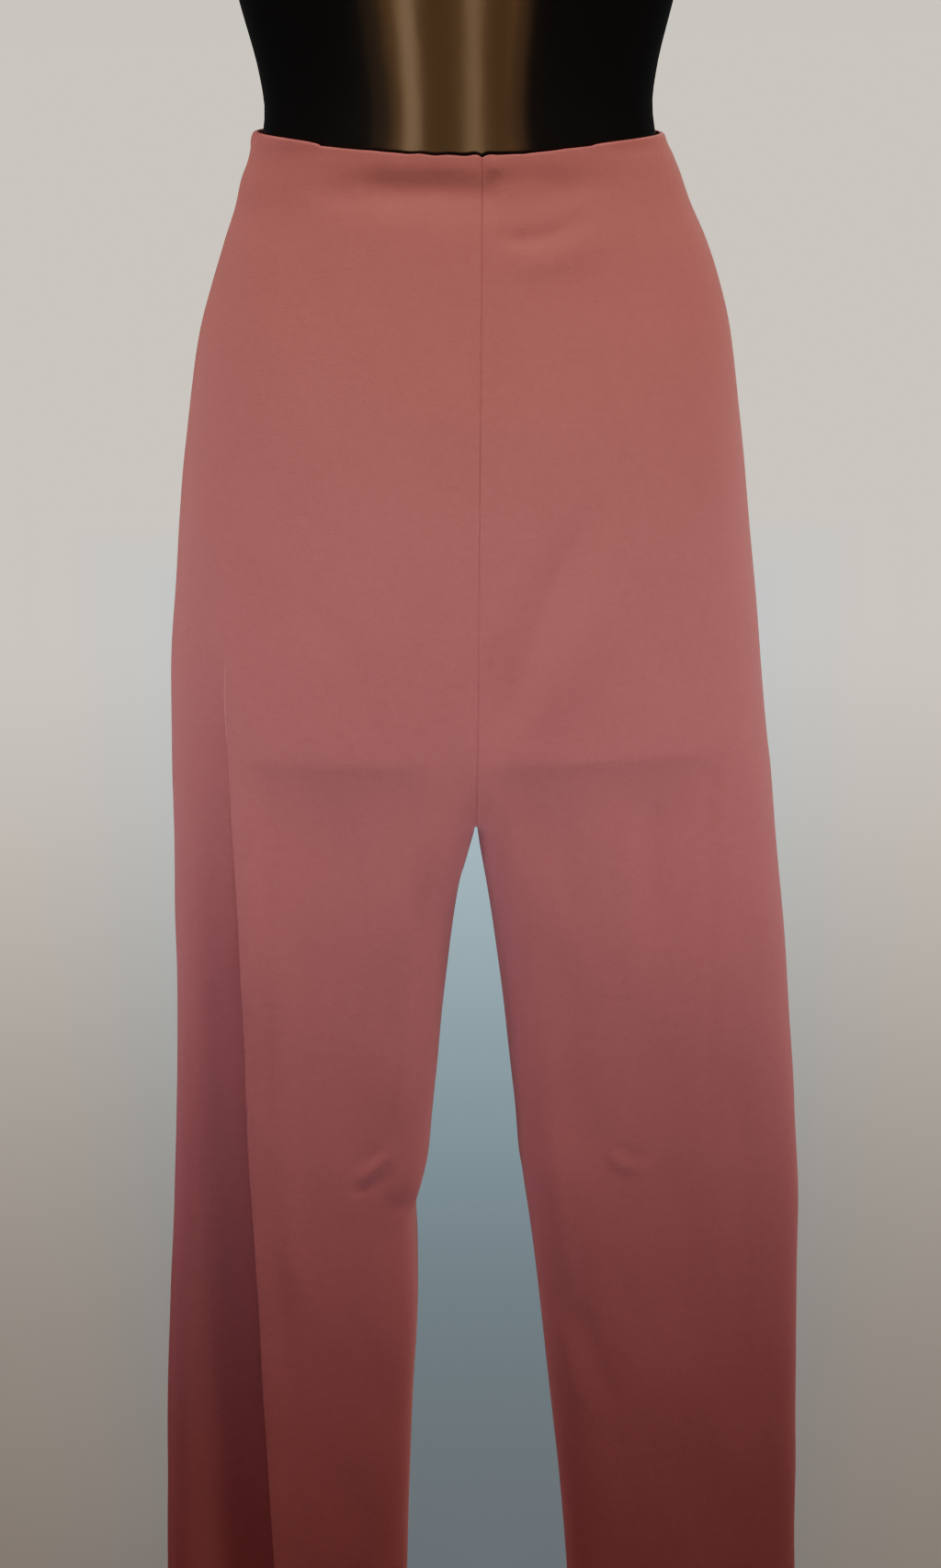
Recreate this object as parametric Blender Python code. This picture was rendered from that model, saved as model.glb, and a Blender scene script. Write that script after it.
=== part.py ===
"""Pull-on dress trousers on a limbless torso form with a pole stand.

Metres, +Z up, the garment's front faces -Y and the wearer's right side is at -X.
Each cloth panel is a thin wall: a flat grid is carried onto the garment's surface,
extruded once, and its second skin is set inside the first by the cloth's thickness.
"""

import math
from collections import namedtuple
from functools import lru_cache

import bmesh
import bpy
from mathutils import Vector

# Heights of the garment. The waist edge dips at the front and climbs to the sides
WAIST_Z = 1.222
WAIST_LIFTS = {
    ("right", "front"): (-0.0030, 0.0068),
    ("left", "front"): (-0.0030, 0.0026),
    ("right", "back"): (0.0080, 0.0068),
    ("left", "back"): (0.0080, 0.0026),
}
LIFT_FOOT_Z = 1.120
CASING_FOOT_Z = 1.206
FORK_Z = 0.8100
HEM_FOLD_Z = 0.072
HEM_Z = 0.045

# Cloth: one layer of crepe with its turned edges, and the gap left at every seam
CLOTH_WALL = 0.0015
CASING_WALL = 0.0028
HEM_WALL = 0.0024
SEAM_GAP = 0.0003

# The centre seams stand a little off the middle at the waist and meet at the fork
FRONT_SEAM_WAIST_X = 0.0133
BACK_SEAM_WAIST_X = -0.0080
FORK_X = 0.0044

# The cloth turns under at the fork within this rise and width, and rounds in to the
# inseams over a wider stretch further down. A high power keeps it flat until the edge
FORK_RISE = 0.056
FORK_WIDTH = 0.022
INSEAM_POWER = 3.6
LEG_WIDTH_POWER = 3.0

# Folds fade out where the surface turns in to a seam: the shares of the full depth
# and of the full roll below which they fade
SEAM_FADE = 0.55
SIDE_FADE = 0.45

# Between these heights the section of the hips turns into two legs
LEG_START_Z = 0.960
LEG_FULL_Z = 0.700

# Form and stand
FORM_SEGMENTS = 40
FORM_ROW = 0.034
POLE_X = -0.095
POLE_Y = 0.006
POLE_RADIUS = 0.011
FLANGE_RADIUS = 0.032
FLANGE_HEIGHT = 0.006
COLLAR_RADIUS = 0.026
COLLAR_HEIGHT = 0.022
COLLAR_STRAIGHT = 0.4
COLLAR_LIP = 0.003
BASE_WIDTH = 0.460
BASE_DEPTH = 0.300
BASE_HEIGHT = 0.008
BASE_CORNER = 0.060
ROUND_SEGMENTS = 28
SEAT_GAP = 0.0003

# Sections of the garment: half widths to the wearer's right and left, depths to the
# front and the back, and how square the section is (2 is an ellipse)
Section = namedtuple("Section", "height right left front back roundness")
SECTIONS = (
    Section(1.2220, 0.1240, 0.1238, 0.0895, 0.0790, 2.25),
    Section(1.2136, 0.1257, 0.1273, 0.0900, 0.0805, 2.25),
    Section(1.2028, 0.1299, 0.1317, 0.0905, 0.0830, 2.25),
    Section(1.1866, 0.1338, 0.1373, 0.0925, 0.0870, 2.25),
    Section(1.1649, 0.1417, 0.1468, 0.0960, 0.0930, 2.25),
    Section(1.1431, 0.1492, 0.1542, 0.0990, 0.0990, 2.25),
    Section(1.1100, 0.1587, 0.1622, 0.1030, 0.1080, 2.30),
    Section(1.0598, 0.1673, 0.1683, 0.1070, 0.1170, 2.35),
    Section(1.0032, 0.1741, 0.1739, 0.1080, 0.1210, 2.40),
    Section(0.9456, 0.1798, 0.1791, 0.1060, 0.1170, 2.45),
    Section(0.9000, 0.1838, 0.1832, 0.1012, 0.1060, 2.50),
    Section(0.8600, 0.1850, 0.1869, 0.0965, 0.0955, 2.52),
    Section(0.8400, 0.1857, 0.1893, 0.0932, 0.0925, 2.55),
    Section(0.7954, 0.1864, 0.1931, 0.0872, 0.0862, 2.58),
    Section(0.7361, 0.1877, 0.1986, 0.0792, 0.0782, 2.60),
    Section(0.6739, 0.1890, 0.2036, 0.0716, 0.0708, 2.60),
    Section(0.6106, 0.1921, 0.2081, 0.0652, 0.0645, 2.60),
    Section(0.5462, 0.1965, 0.2114, 0.0602, 0.0596, 2.60),
    Section(0.4806, 0.2016, 0.2118, 0.0566, 0.0560, 2.60),
    Section(0.4139, 0.2062, 0.2122, 0.0543, 0.0536, 2.60),
    Section(0.3459, 0.2089, 0.2126, 0.0528, 0.0520, 2.60),
    Section(0.2767, 0.2118, 0.2131, 0.0517, 0.0510, 2.60),
    Section(0.1500, 0.2158, 0.2140, 0.0505, 0.0500, 2.60),
    Section(0.0450, 0.2185, 0.2146, 0.0498, 0.0495, 2.60),
)

# Inseams of the two legs: how far each stands from the middle, outwards
Inseam = namedtuple("Inseam", "height right left")
INSEAMS = (
    Inseam(0.8100, -0.0043, 0.0046),
    Inseam(0.7980, -0.0015, 0.0057),
    Inseam(0.7860, 0.0017, 0.0075),
    Inseam(0.7736, 0.0053, 0.0094),
    Inseam(0.7500, 0.0095, 0.0127),
    Inseam(0.7180, 0.0140, 0.0165),
    Inseam(0.6870, 0.0180, 0.0200),
    Inseam(0.6500, 0.0220, 0.0234),
    Inseam(0.6106, 0.0263, 0.0272),
    Inseam(0.5820, 0.0293, 0.0291),
    Inseam(0.5660, 0.0328, 0.0315),
    Inseam(0.5560, 0.0358, 0.0327),
    Inseam(0.5460, 0.0385, 0.0341),
    Inseam(0.5136, 0.0378, 0.0381),
    Inseam(0.4806, 0.0381, 0.0415),
    Inseam(0.4139, 0.0424, 0.0477),
    Inseam(0.3459, 0.0462, 0.0541),
    Inseam(0.2767, 0.0494, 0.0590),
    Inseam(0.1500, 0.0540, 0.0660),
    Inseam(0.0450, 0.0575, 0.0710),
)

# Long drape folds down the outer side of a leg: the ridge and the valley beside it,
# measured outwards from the middle, and how far the valley lies back
SideFold = namedtuple("SideFold", "height ridge valley depth")
SIDE_FOLDS = {
    ("right", "front"): (
        SideFold(1.2220, 0.0800, 0.1000, 0.000),
        SideFold(0.9400, 0.1420, 0.1560, 0.000),
        SideFold(0.8943, 0.1450, 0.1590, 0.003),
        SideFold(0.8536, 0.1445, 0.1600, 0.008),
        SideFold(0.8125, 0.1431, 0.1620, 0.014),
        SideFold(0.7529, 0.1418, 0.1650, 0.021),
        SideFold(0.6923, 0.1415, 0.1680, 0.026),
        SideFold(0.5993, 0.1418, 0.1710, 0.029),
        SideFold(0.5038, 0.1395, 0.1730, 0.031),
        SideFold(0.4058, 0.1378, 0.1750, 0.032),
        SideFold(0.3050, 0.1352, 0.1760, 0.032),
        SideFold(0.0450, 0.1310, 0.1770, 0.031),
    ),
    ("left", "back"): (
        SideFold(1.2220, 0.0800, 0.1000, 0.000),
        SideFold(0.9200, 0.1330, 0.1500, 0.000),
        SideFold(0.8300, 0.1400, 0.1570, 0.006),
        SideFold(0.7000, 0.1470, 0.1680, 0.013),
        SideFold(0.5000, 0.1500, 0.1750, 0.017),
        SideFold(0.2500, 0.1500, 0.1770, 0.018),
        SideFold(0.0450, 0.1480, 0.1760, 0.018),
    ),
}
FOLD_RIDGE_LIFT = 0.10
FOLD_RIDGE_WIDTH = 0.012
FOLD_EASE = 4.0
FOLD_LOBE = 0.35
FOLD_LOBE_STEEPNESS = 1.6

# Softer folds: where the middle of each trough starts and ends, its half width and depth
Trough = namedtuple("Trough", "leg face top_x top_z foot_x foot_z half_width depth")
TROUGHS = (
    Trough("right", "front", -0.080, 0.860, -0.083, 0.000, 0.026, 0.0040),
    Trough("left", "front", 0.034, 0.862, 0.075, 0.560, 0.016, 0.0030),
    Trough("left", "front", 0.118, 0.862, 0.135, 0.420, 0.026, 0.0035),
    Trough("left", "front", 0.080, 1.035, 0.014, 0.870, 0.016, 0.0015),
    Trough("right", "back", -0.070, 0.870, -0.098, 0.000, 0.026, 0.0070),
    Trough("right", "back", -0.150, 0.840, -0.160, 0.100, 0.014, 0.0040),
    Trough("left", "back", 0.062, 0.870, 0.112, 0.000, 0.024, 0.0060),
)
TROUGH_FADE = 0.090
TROUGH_START = 0.3

# The cloth dips just under the elastic across the front of the waist
DIP_Z = 1.2010
DIP_HALF_HEIGHT = 0.0085
DIP_MIDDLE_X = 0.018
DIP_HALF_WIDTH = 0.072
DIP_DEPTH = 0.0022

# Rows of the cloth grid: stretches down the garment and how many rows each has
ROW_STRETCHES = (
    (WAIST_Z, CASING_FOOT_Z, 2),
    (CASING_FOOT_Z - 0.0008, 1.045, 10),
    (1.020, FORK_Z + FORK_RISE, 6),
)
FORK_ROWS = 7
LEG_STRETCHES = (
    (0.802, 0.700, 5),
    (0.672, 0.500, 8),
    (0.455, HEM_FOLD_Z + 0.001, 7),
    (HEM_FOLD_Z, HEM_Z, 1),
)

# Columns of the cloth grid on the seam's side and the outer side of a split line
SEAM_COLUMNS = 7
SIDE_COLUMNS = 7
SPLIT_SHARE = 0.58

# Sections of the torso form: half width, depths to the front and back, squareness
FormSection = namedtuple("FormSection", "height half_width front back roundness")
FORM_SECTIONS = (
    FormSection(0.8580, 0.1300, 0.0915, 0.0760, 2.60),
    FormSection(0.8700, 0.1360, 0.0935, 0.0800, 2.55),
    FormSection(0.9000, 0.1480, 0.0980, 0.0920, 2.50),
    FormSection(0.9456, 0.1620, 0.1030, 0.1080, 2.40),
    FormSection(1.0032, 0.1702, 0.1055, 0.1170, 2.35),
    FormSection(1.0598, 0.1636, 0.1046, 0.1143, 2.30),
    FormSection(1.1100, 0.1550, 0.1006, 0.1057, 2.27),
    FormSection(1.1431, 0.1455, 0.0966, 0.0966, 2.22),
    FormSection(1.1649, 0.1381, 0.0934, 0.0904, 2.20),
    FormSection(1.1866, 0.1300, 0.0880, 0.0838, 2.20),
    FormSection(1.2028, 0.1240, 0.0850, 0.0790, 2.20),
    FormSection(1.2136, 0.1200, 0.0843, 0.0765, 2.20),
    FormSection(1.2260, 0.1168, 0.0838, 0.0745, 2.20),
    FormSection(1.2430, 0.1150, 0.0838, 0.0735, 2.20),
    FormSection(1.2615, 0.1172, 0.0845, 0.0745, 2.20),
    FormSection(1.3035, 0.1275, 0.0885, 0.0810, 2.20),
    FormSection(1.3500, 0.1385, 0.0985, 0.0890, 2.20),
    FormSection(1.4050, 0.1490, 0.1130, 0.0955, 2.15),
    FormSection(1.4550, 0.1560, 0.1070, 0.1000, 2.15),
    FormSection(1.5050, 0.1630, 0.0900, 0.1000, 2.20),
    FormSection(1.5400, 0.1640, 0.0760, 0.0930, 2.30),
    FormSection(1.5700, 0.1500, 0.0640, 0.0810, 2.35),
    FormSection(1.5900, 0.1180, 0.0560, 0.0700, 2.20),
    FormSection(1.6080, 0.0800, 0.0500, 0.0610, 2.05),
    FormSection(1.6250, 0.0590, 0.0480, 0.0560, 2.00),
    FormSection(1.6800, 0.0530, 0.0470, 0.0520, 2.00),
)

LEG_SIGN = {"right": -1.0, "left": 1.0}
FACE_SIGN = {"front": -1.0, "back": 1.0}
NORMAL_STEP = 0.0005
SHARE_STEP = 0.01


@lru_cache(maxsize=None)
def along(table, name, height):
    """Value of a table's column at a height, on a smooth curve through its rows."""
    rows = sorted(table, key=lambda row: row.height)
    if height <= rows[0].height:
        return getattr(rows[0], name)
    if height >= rows[-1].height:
        return getattr(rows[-1], name)
    index = next(i for i in range(1, len(rows)) if height <= rows[i].height)
    low, high = rows[index - 1], rows[index]
    span = high.height - low.height
    share = (height - low.height) / span
    low_value, high_value = getattr(low, name), getattr(high, name)
    low_slope = slope_at(rows, index - 1, name) * span
    high_slope = slope_at(rows, index, name) * span
    square, cube = share ** 2, share ** 3
    return ((2 * cube - 3 * square + 1) * low_value + (cube - 2 * square + share) * low_slope
            + (3 * square - 2 * cube) * high_value + (cube - square) * high_slope)


def slope_at(rows, index, name):
    """Slope of a column at one row, from the rows on both sides of it."""
    if index in (0, len(rows) - 1):
        return 0.0
    before, here, after = rows[index - 1], rows[index], rows[index + 1]
    low = (getattr(here, name) - getattr(before, name)) / (here.height - before.height)
    high = (getattr(after, name) - getattr(here, name)) / (after.height - here.height)
    if low * high <= 0.0:
        return 0.0
    return 2.0 * low * high / (low + high)


def smooth_step(value):
    """Zero up to 0, one from 1, and a soft rise between them."""
    value = min(1.0, max(0.0, value))
    return value * value * (3.0 - 2.0 * value)


def mix(start, end, share):
    return start + (end - start) * share


Row = namedtuple("Row", "height outer seam roundness depth rise legness crown inner_width fold")


@lru_cache(maxsize=None)
def row_at(leg, face, height):
    """What a panel's surface needs to know about one height."""
    sign = LEG_SIGN[leg]
    outer = along(SECTIONS, leg, height)
    rise = max(0.0, height - FORK_Z) / FORK_RISE
    waist_x = FRONT_SEAM_WAIST_X if face == "front" else BACK_SEAM_WAIST_X
    seam_x = mix(FORK_X, waist_x, max(0.0, height - FORK_Z) / (WAIST_Z - FORK_Z))
    seam = sign * seam_x + SEAM_GAP / 2
    if height < FORK_Z:
        seam = max(seam, along(INSEAMS, leg, height))
    legness = smooth_step((LEG_START_Z - height) / (LEG_START_Z - LEG_FULL_Z))
    middle = (seam + outer) / 2
    crown = mix(0.0, middle, legness)
    inner_width = mix(FORK_WIDTH, middle - seam, legness ** LEG_WIDTH_POWER)
    fold_table = SIDE_FOLDS.get((leg, face))
    fold = tuple(along(fold_table, name, height) for name in ("ridge", "valley", "depth")) \
        if fold_table else None
    return Row(height, outer, seam, along(SECTIONS, "roundness", height),
               along(SECTIONS, face, height), rise, legness, crown, inner_width, fold)


def fold_shift(row, reach):
    """How far the outer drape fold sets the surface back at a distance from the middle."""
    ridge, valley, depth = row.fold
    if reach <= ridge:
        return -FOLD_RIDGE_LIFT * depth * math.exp(-((ridge - reach) / FOLD_RIDGE_WIDTH) ** 2)
    if reach <= valley:
        ahead = (valley - reach) / (valley - ridge)
        return depth * mix(1.0, -FOLD_RIDGE_LIFT, ahead ** FOLD_EASE)
    past = (reach - valley) / max(row.outer - valley, 0.001)
    return depth * mix(1.0, FOLD_LOBE, smooth_step(past * FOLD_LOBE_STEEPNESS))


def trough_shift(leg, face, x, height):
    """How far the soft troughs set the surface back at a place."""
    total = 0.0
    for trough in TROUGHS:
        if (trough.leg, trough.face) != (leg, face):
            continue
        share = (trough.top_z - height) / (trough.top_z - trough.foot_z)
        middle = mix(trough.top_x, trough.foot_x, min(1.0, max(0.0, share)))
        fade = smooth_step((trough.top_z - height) / TROUGH_FADE + TROUGH_START)
        if trough.foot_z > HEM_Z:
            fade *= smooth_step((height - trough.foot_z) / TROUGH_FADE)
        total += trough.depth * fade * math.exp(-((x - middle) / trough.half_width) ** 2)
    return total


def waist_dip(x, height):
    """The dip under the elastic, across the front."""
    return DIP_DEPTH * math.exp(-((height - DIP_Z) / DIP_HALF_HEIGHT) ** 2
                                - ((x - DIP_MIDDLE_X) / DIP_HALF_WIDTH) ** 4)


def surface_point(leg, face, row, reach):
    """Point of the garment's outer surface at a row, at a distance from the middle."""
    sign = LEG_SIGN[leg]
    outwards = min(1.0, abs(reach - row.crown) / (row.outer - row.crown))
    if reach < row.crown:
        outwards *= 1.0 - row.legness
    roll = (1.0 - outwards ** row.roundness) ** (1.0 / row.roundness)
    apart = min(1.0, math.hypot((reach - row.seam) / row.inner_width, row.rise))
    edge = (1.0 - (1.0 - apart) ** INSEAM_POWER) ** (1.0 / INSEAM_POWER)
    depth = row.depth * roll * edge
    free = smooth_step(depth / row.depth / SEAM_FADE)
    if row.fold:
        depth -= fold_shift(row, reach) * smooth_step(roll / SIDE_FADE)
    depth -= trough_shift(leg, face, sign * reach, row.height) * free
    if face == "front":
        depth -= waist_dip(sign * reach, row.height) * free
    return Vector((sign * reach, FACE_SIGN[face] * (depth + SEAM_GAP / 2), row.height))


def reach_at(row, share):
    """Distance from the middle of a grid column: closer together at edges and the split."""
    split_share = SEAM_COLUMNS / (SEAM_COLUMNS + SIDE_COLUMNS)
    split = row.fold[0] if row.fold else mix(row.seam, row.outer, SPLIT_SHARE)
    if share <= split_share:
        part = share / split_share
        return mix(row.seam, split, mix(part, 1.0 - math.cos(math.pi / 2 * part), row.legness))
    part = (share - split_share) / (1.0 - split_share)
    return mix(split, row.outer, (1.0 - math.cos(math.pi * part)) / 2)


def row_heights():
    """Heights of the grid's rows, from the waist down to the hem."""
    heights = []
    for top, foot, count in ROW_STRETCHES:
        heights += [mix(top, foot, index / count) for index in range(count + 1)]
    heights += [FORK_Z + FORK_RISE * (index / FORK_ROWS) ** 2
                for index in range(FORK_ROWS - 1, -1, -1)]
    for top, foot, count in LEG_STRETCHES:
        heights += [mix(top, foot, index / count) for index in range(count + 1)]
    return heights


def wall_at(height):
    """The cloth's thickness at a height: more where the edge is turned in."""
    if height >= CASING_FOOT_Z - 1e-6:
        return CASING_WALL
    if height <= HEM_FOLD_Z + 1e-6:
        return HEM_WALL
    return CLOTH_WALL


def place(leg, face, height, share):
    """Point of a panel's grid: a nominal height down it and a share of the way round."""
    centre_lift, side_lift = WAIST_LIFTS[leg, face]
    rise = smooth_step((height - LIFT_FOOT_Z) / (WAIST_Z - LIFT_FOOT_Z))
    lifted = height + rise * mix(centre_lift, side_lift, smooth_step(share))
    row = row_at(leg, face, lifted)
    return surface_point(leg, face, row, reach_at(row, share))


def outward(leg, face, height, share):
    """Unit normal of the surface. At a seam it lies in the seam's own plane."""
    above = min(WAIST_Z, height + NORMAL_STEP)
    below = max(HEM_Z, height - NORMAL_STEP)
    start = max(0.0, share - SHARE_STEP)
    end = min(1.0, share + SHARE_STEP)
    across = place(leg, face, height, end) - place(leg, face, height, start)
    down = place(leg, face, below, share) - place(leg, face, above, share)
    normal = across.cross(down) * LEG_SIGN[leg] * FACE_SIGN[face]
    if share == 1.0 or (share == 0.0 and height < FORK_Z):
        normal.y = 0.0
    elif share == 0.0 and normal.x * LEG_SIGN[leg] > 0.0:
        normal.x = 0.0
    return normal.normalized()


def panel(leg, face):
    """One cut panel, from the waist to the hem, as a thin closed wall."""
    columns = SEAM_COLUMNS + SIDE_COLUMNS
    heights = row_heights()
    row_count = len(heights) - 1
    mesh = bmesh.new()
    bmesh.ops.create_grid(mesh, x_segments=columns, y_segments=row_count, size=0.5)
    wall = bmesh.ops.extrude_face_region(mesh, geom=mesh.faces[:], use_keep_orig=True)
    inner_skin = {item for item in wall["geom"] if isinstance(item, bmesh.types.BMVert)}
    for vert in mesh.verts:
        share = round((vert.co.x + 0.5) * columns) / columns
        height = heights[round((0.5 - vert.co.y) * row_count)]
        point = place(leg, face, height, share)
        if vert in inner_skin:
            point -= outward(leg, face, height, share) * wall_at(height)
        vert.co = point
    bmesh.ops.recalc_face_normals(mesh, faces=mesh.faces[:])
    return mesh


def form_point(section, angle):
    """Point of the torso form's section at an angle round it."""
    power = 2.0 / section.roundness
    side, along_y = math.cos(angle), math.sin(angle)
    depth = section.back if along_y > 0.0 else section.front
    return Vector((section.half_width * math.copysign(abs(side) ** power, side),
                   depth * math.copysign(abs(along_y) ** power, along_y), section.height))


def torso_form():
    """The form: rings from the open thigh edge up to the neck, joined and closed."""
    mesh = bmesh.new()
    edges = []
    names = FormSection._fields[1:]
    heights = []
    for low, high in zip(FORM_SECTIONS, FORM_SECTIONS[1:]):
        count = max(1, round((high.height - low.height) / FORM_ROW))
        heights += [mix(low.height, high.height, index / count) for index in range(count)]
    heights.append(FORM_SECTIONS[-1].height)
    for height in heights:
        section = FormSection(height, *(along(FORM_SECTIONS, name, height) for name in names))
        closed = height in (heights[0], heights[-1])
        ring = bmesh.ops.create_circle(mesh, cap_ends=closed, segments=FORM_SEGMENTS, radius=1.0)
        for index, vert in enumerate(ring["verts"]):
            vert.co = form_point(section, 2 * math.pi * index / FORM_SEGMENTS)
        edges.append([edge for edge in mesh.edges if edge.verts[0] in ring["verts"]])
    for lower, upper in zip(edges, edges[1:]):
        bmesh.ops.bridge_loops(mesh, edges=lower + upper)
    bmesh.ops.recalc_face_normals(mesh, faces=mesh.faces[:])
    return mesh


def cylinder(radius, height, foot_z):
    """A closed upright cylinder round the pole's axis."""
    mesh = bmesh.new()
    bmesh.ops.create_cone(mesh, cap_ends=True, segments=ROUND_SEGMENTS, radius1=radius,
                          radius2=radius, depth=height)
    bmesh.ops.translate(mesh, verts=mesh.verts[:],
                        vec=(POLE_X, POLE_Y, foot_z + height / 2))
    return mesh


def collar():
    """A ring round the pole's foot: two loops of a profile turned about the pole."""
    mesh = bmesh.new()
    foot = BASE_HEIGHT + SEAT_GAP
    bore = POLE_RADIUS + SEAT_GAP
    shoulder = foot + COLLAR_HEIGHT * COLLAR_STRAIGHT
    top = foot + COLLAR_HEIGHT
    corners = ((bore, foot), (COLLAR_RADIUS, foot), (COLLAR_RADIUS, shoulder),
               (bore + COLLAR_LIP, top), (bore, top))
    verts = [mesh.verts.new((POLE_X + radius, POLE_Y, height)) for radius, height in corners]
    profile = [mesh.edges.new((verts[i], verts[(i + 1) % len(verts)])) for i in range(len(verts))]
    bmesh.ops.spin(mesh, geom=verts + profile, cent=(POLE_X, POLE_Y, 0.0), axis=(0.0, 0.0, 1.0),
                   angle=2 * math.pi, steps=ROUND_SEGMENTS, use_merge=True)
    bmesh.ops.recalc_face_normals(mesh, faces=mesh.faces[:])
    return mesh


def base_plate():
    """The plate on the floor, with rounded corners."""
    mesh = bmesh.new()
    bmesh.ops.create_cube(mesh, size=1.0)
    bmesh.ops.scale(mesh, verts=mesh.verts[:], vec=(BASE_WIDTH, BASE_DEPTH, BASE_HEIGHT))
    bmesh.ops.translate(mesh, verts=mesh.verts[:], vec=(0.0, 0.0, BASE_HEIGHT / 2))
    upright = [edge for edge in mesh.edges
               if abs(edge.verts[0].co.z - edge.verts[1].co.z) > BASE_HEIGHT / 2]
    bmesh.ops.bevel(mesh, geom=upright, offset=BASE_CORNER, segments=10, profile=0.5,
                    affect="EDGES", material=-1)
    return mesh


def material(name, colour, roughness, metallic):
    finish = bpy.data.materials.new(name)
    finish.use_nodes = True
    shader = finish.node_tree.nodes["Principled BSDF"]
    shader.inputs["Base Color"].default_value = (*colour, 1.0)
    shader.inputs["Roughness"].default_value = roughness
    shader.inputs["Metallic"].default_value = metallic
    return finish


def add_object(collection, name, mesh, finish):
    """Turns a finished bmesh into a named object of the part."""
    data = bpy.data.meshes.new(name)
    mesh.to_mesh(data)
    mesh.free()
    data.materials.append(finish)
    data.shade_smooth()
    data.set_sharp_from_angle(angle=math.radians(50))
    part = bpy.data.objects.new(name, data)
    collection.objects.link(part)
    return part


def build():
    for old in list(bpy.data.objects):
        bpy.data.objects.remove(old, do_unlink=True)
    collection = bpy.data.collections.new("dress_trousers")
    bpy.context.scene.collection.children.link(collection)
    panel_colours = {"front_right": (0.400, 0.130, 0.122), "front_left": (0.395, 0.128, 0.120),
                     "back_right": (0.388, 0.126, 0.118), "back_left": (0.392, 0.127, 0.119)}
    for face in FACE_SIGN:
        for leg in LEG_SIGN:
            name = face + "_" + leg
            finish = material(name + "_crepe", panel_colours[name], 0.85, 0.0)
            add_object(collection, name, panel(leg, face), finish)
    black = material("gloss_black_plastic", (0.012, 0.010, 0.009), 0.22, 0.0)
    add_object(collection, "form_torso", torso_form(), black)
    form_foot = FORM_SECTIONS[0].height
    flange_z = form_foot - SEAT_GAP - FLANGE_HEIGHT
    pole_foot = BASE_HEIGHT + SEAT_GAP
    pole_height = flange_z - SEAT_GAP - pole_foot
    steel = material("brushed_steel_pole", (0.56, 0.55, 0.54), 0.32, 1.0)
    add_object(collection, "stand_pole", cylinder(POLE_RADIUS, pole_height, pole_foot), steel)
    flange_steel = material("brushed_steel_flange", (0.54, 0.53, 0.52), 0.35, 1.0)
    add_object(collection, "stand_flange", cylinder(FLANGE_RADIUS, FLANGE_HEIGHT, flange_z),
               flange_steel)
    collar_steel = material("brushed_steel_collar", (0.58, 0.57, 0.56), 0.30, 1.0)
    add_object(collection, "stand_collar", collar(), collar_steel)
    plate = material("satin_steel_base", (0.50, 0.50, 0.50), 0.38, 1.0)
    add_object(collection, "stand_base", base_plate(), plate)


build()
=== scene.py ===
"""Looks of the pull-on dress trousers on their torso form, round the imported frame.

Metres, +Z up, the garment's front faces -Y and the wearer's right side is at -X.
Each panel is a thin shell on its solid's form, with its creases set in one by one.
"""

import math
from collections import namedtuple
from functools import lru_cache

import bmesh
import bpy
import numpy as np
from mathutils import Matrix, Vector


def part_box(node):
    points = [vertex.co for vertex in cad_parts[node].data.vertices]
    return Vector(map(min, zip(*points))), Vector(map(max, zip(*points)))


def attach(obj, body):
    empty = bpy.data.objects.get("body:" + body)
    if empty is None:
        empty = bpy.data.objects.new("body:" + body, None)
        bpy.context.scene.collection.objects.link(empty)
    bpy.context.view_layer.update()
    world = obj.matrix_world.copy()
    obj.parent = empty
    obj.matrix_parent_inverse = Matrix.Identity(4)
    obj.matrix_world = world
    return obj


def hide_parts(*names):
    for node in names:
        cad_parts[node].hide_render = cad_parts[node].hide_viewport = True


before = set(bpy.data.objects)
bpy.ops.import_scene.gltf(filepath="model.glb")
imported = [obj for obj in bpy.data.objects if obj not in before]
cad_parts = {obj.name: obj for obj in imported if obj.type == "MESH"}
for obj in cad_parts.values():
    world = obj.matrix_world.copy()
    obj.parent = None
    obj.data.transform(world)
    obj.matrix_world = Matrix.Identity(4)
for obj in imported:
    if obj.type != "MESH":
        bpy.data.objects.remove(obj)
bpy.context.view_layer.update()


def table_of(columns, *rows):
    """A table whose columns have names."""
    kind = namedtuple("Row", columns)
    return tuple(kind(*row) for row in rows)


# Camera: chest height, in front, looking a little down, with the photo's slight roll
CAMERA_PLACE = (0.00133, -1.800, 1.320)
CAMERA_PITCH = math.radians(15.367)
CAMERA_ROLL = math.radians(0.83)
LENS_MM = 67.92
SENSOR_MM = 36.0

# Heights of the garment, as in the solids
WAIST_Z = 1.222
LIFT_FOOT_Z = 1.120
CASING_FOOT_Z = 1.206
FORK_Z = 0.8100
HEM_FOLD_Z = 0.072
HEM_Z = 0.045
WAIST_LIFTS = {
    ("right", "front"): (-0.0030, 0.0084),
    ("left", "front"): (-0.0030, 0.0042),
    ("right", "back"): (0.0080, 0.0084),
    ("left", "back"): (0.0080, 0.0042),
}

# Cloth: one layer of crepe, the turned waist edge over its elastic, the turned hem
CREPE_WALL = 0.0010
CASING_WALL = 0.0028
HEM_WALL = 0.0023
SEAM_GAP = 0.00016

# A seam pulls the cloth in over this width, and the two edges roll in at it
SEAM_ROLL = 0.00035
SEAM_ROLL_WIDTH = 0.0016

# The centre seams stand a little off the middle at the waist and meet at the fork
FRONT_SEAM_WAIST_X = 0.0133
BACK_SEAM_WAIST_X = -0.0080
FORK_X = 0.0044
FORK_RISE = 0.056
FORK_WIDTH = 0.022
INSEAM_POWER = 3.6
LEG_WIDTH_POWER = 3.0
LEG_START_Z = 0.960
LEG_FULL_Z = 0.700
SEAM_FADE = 0.55
SIDE_FADE = 0.45

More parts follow.
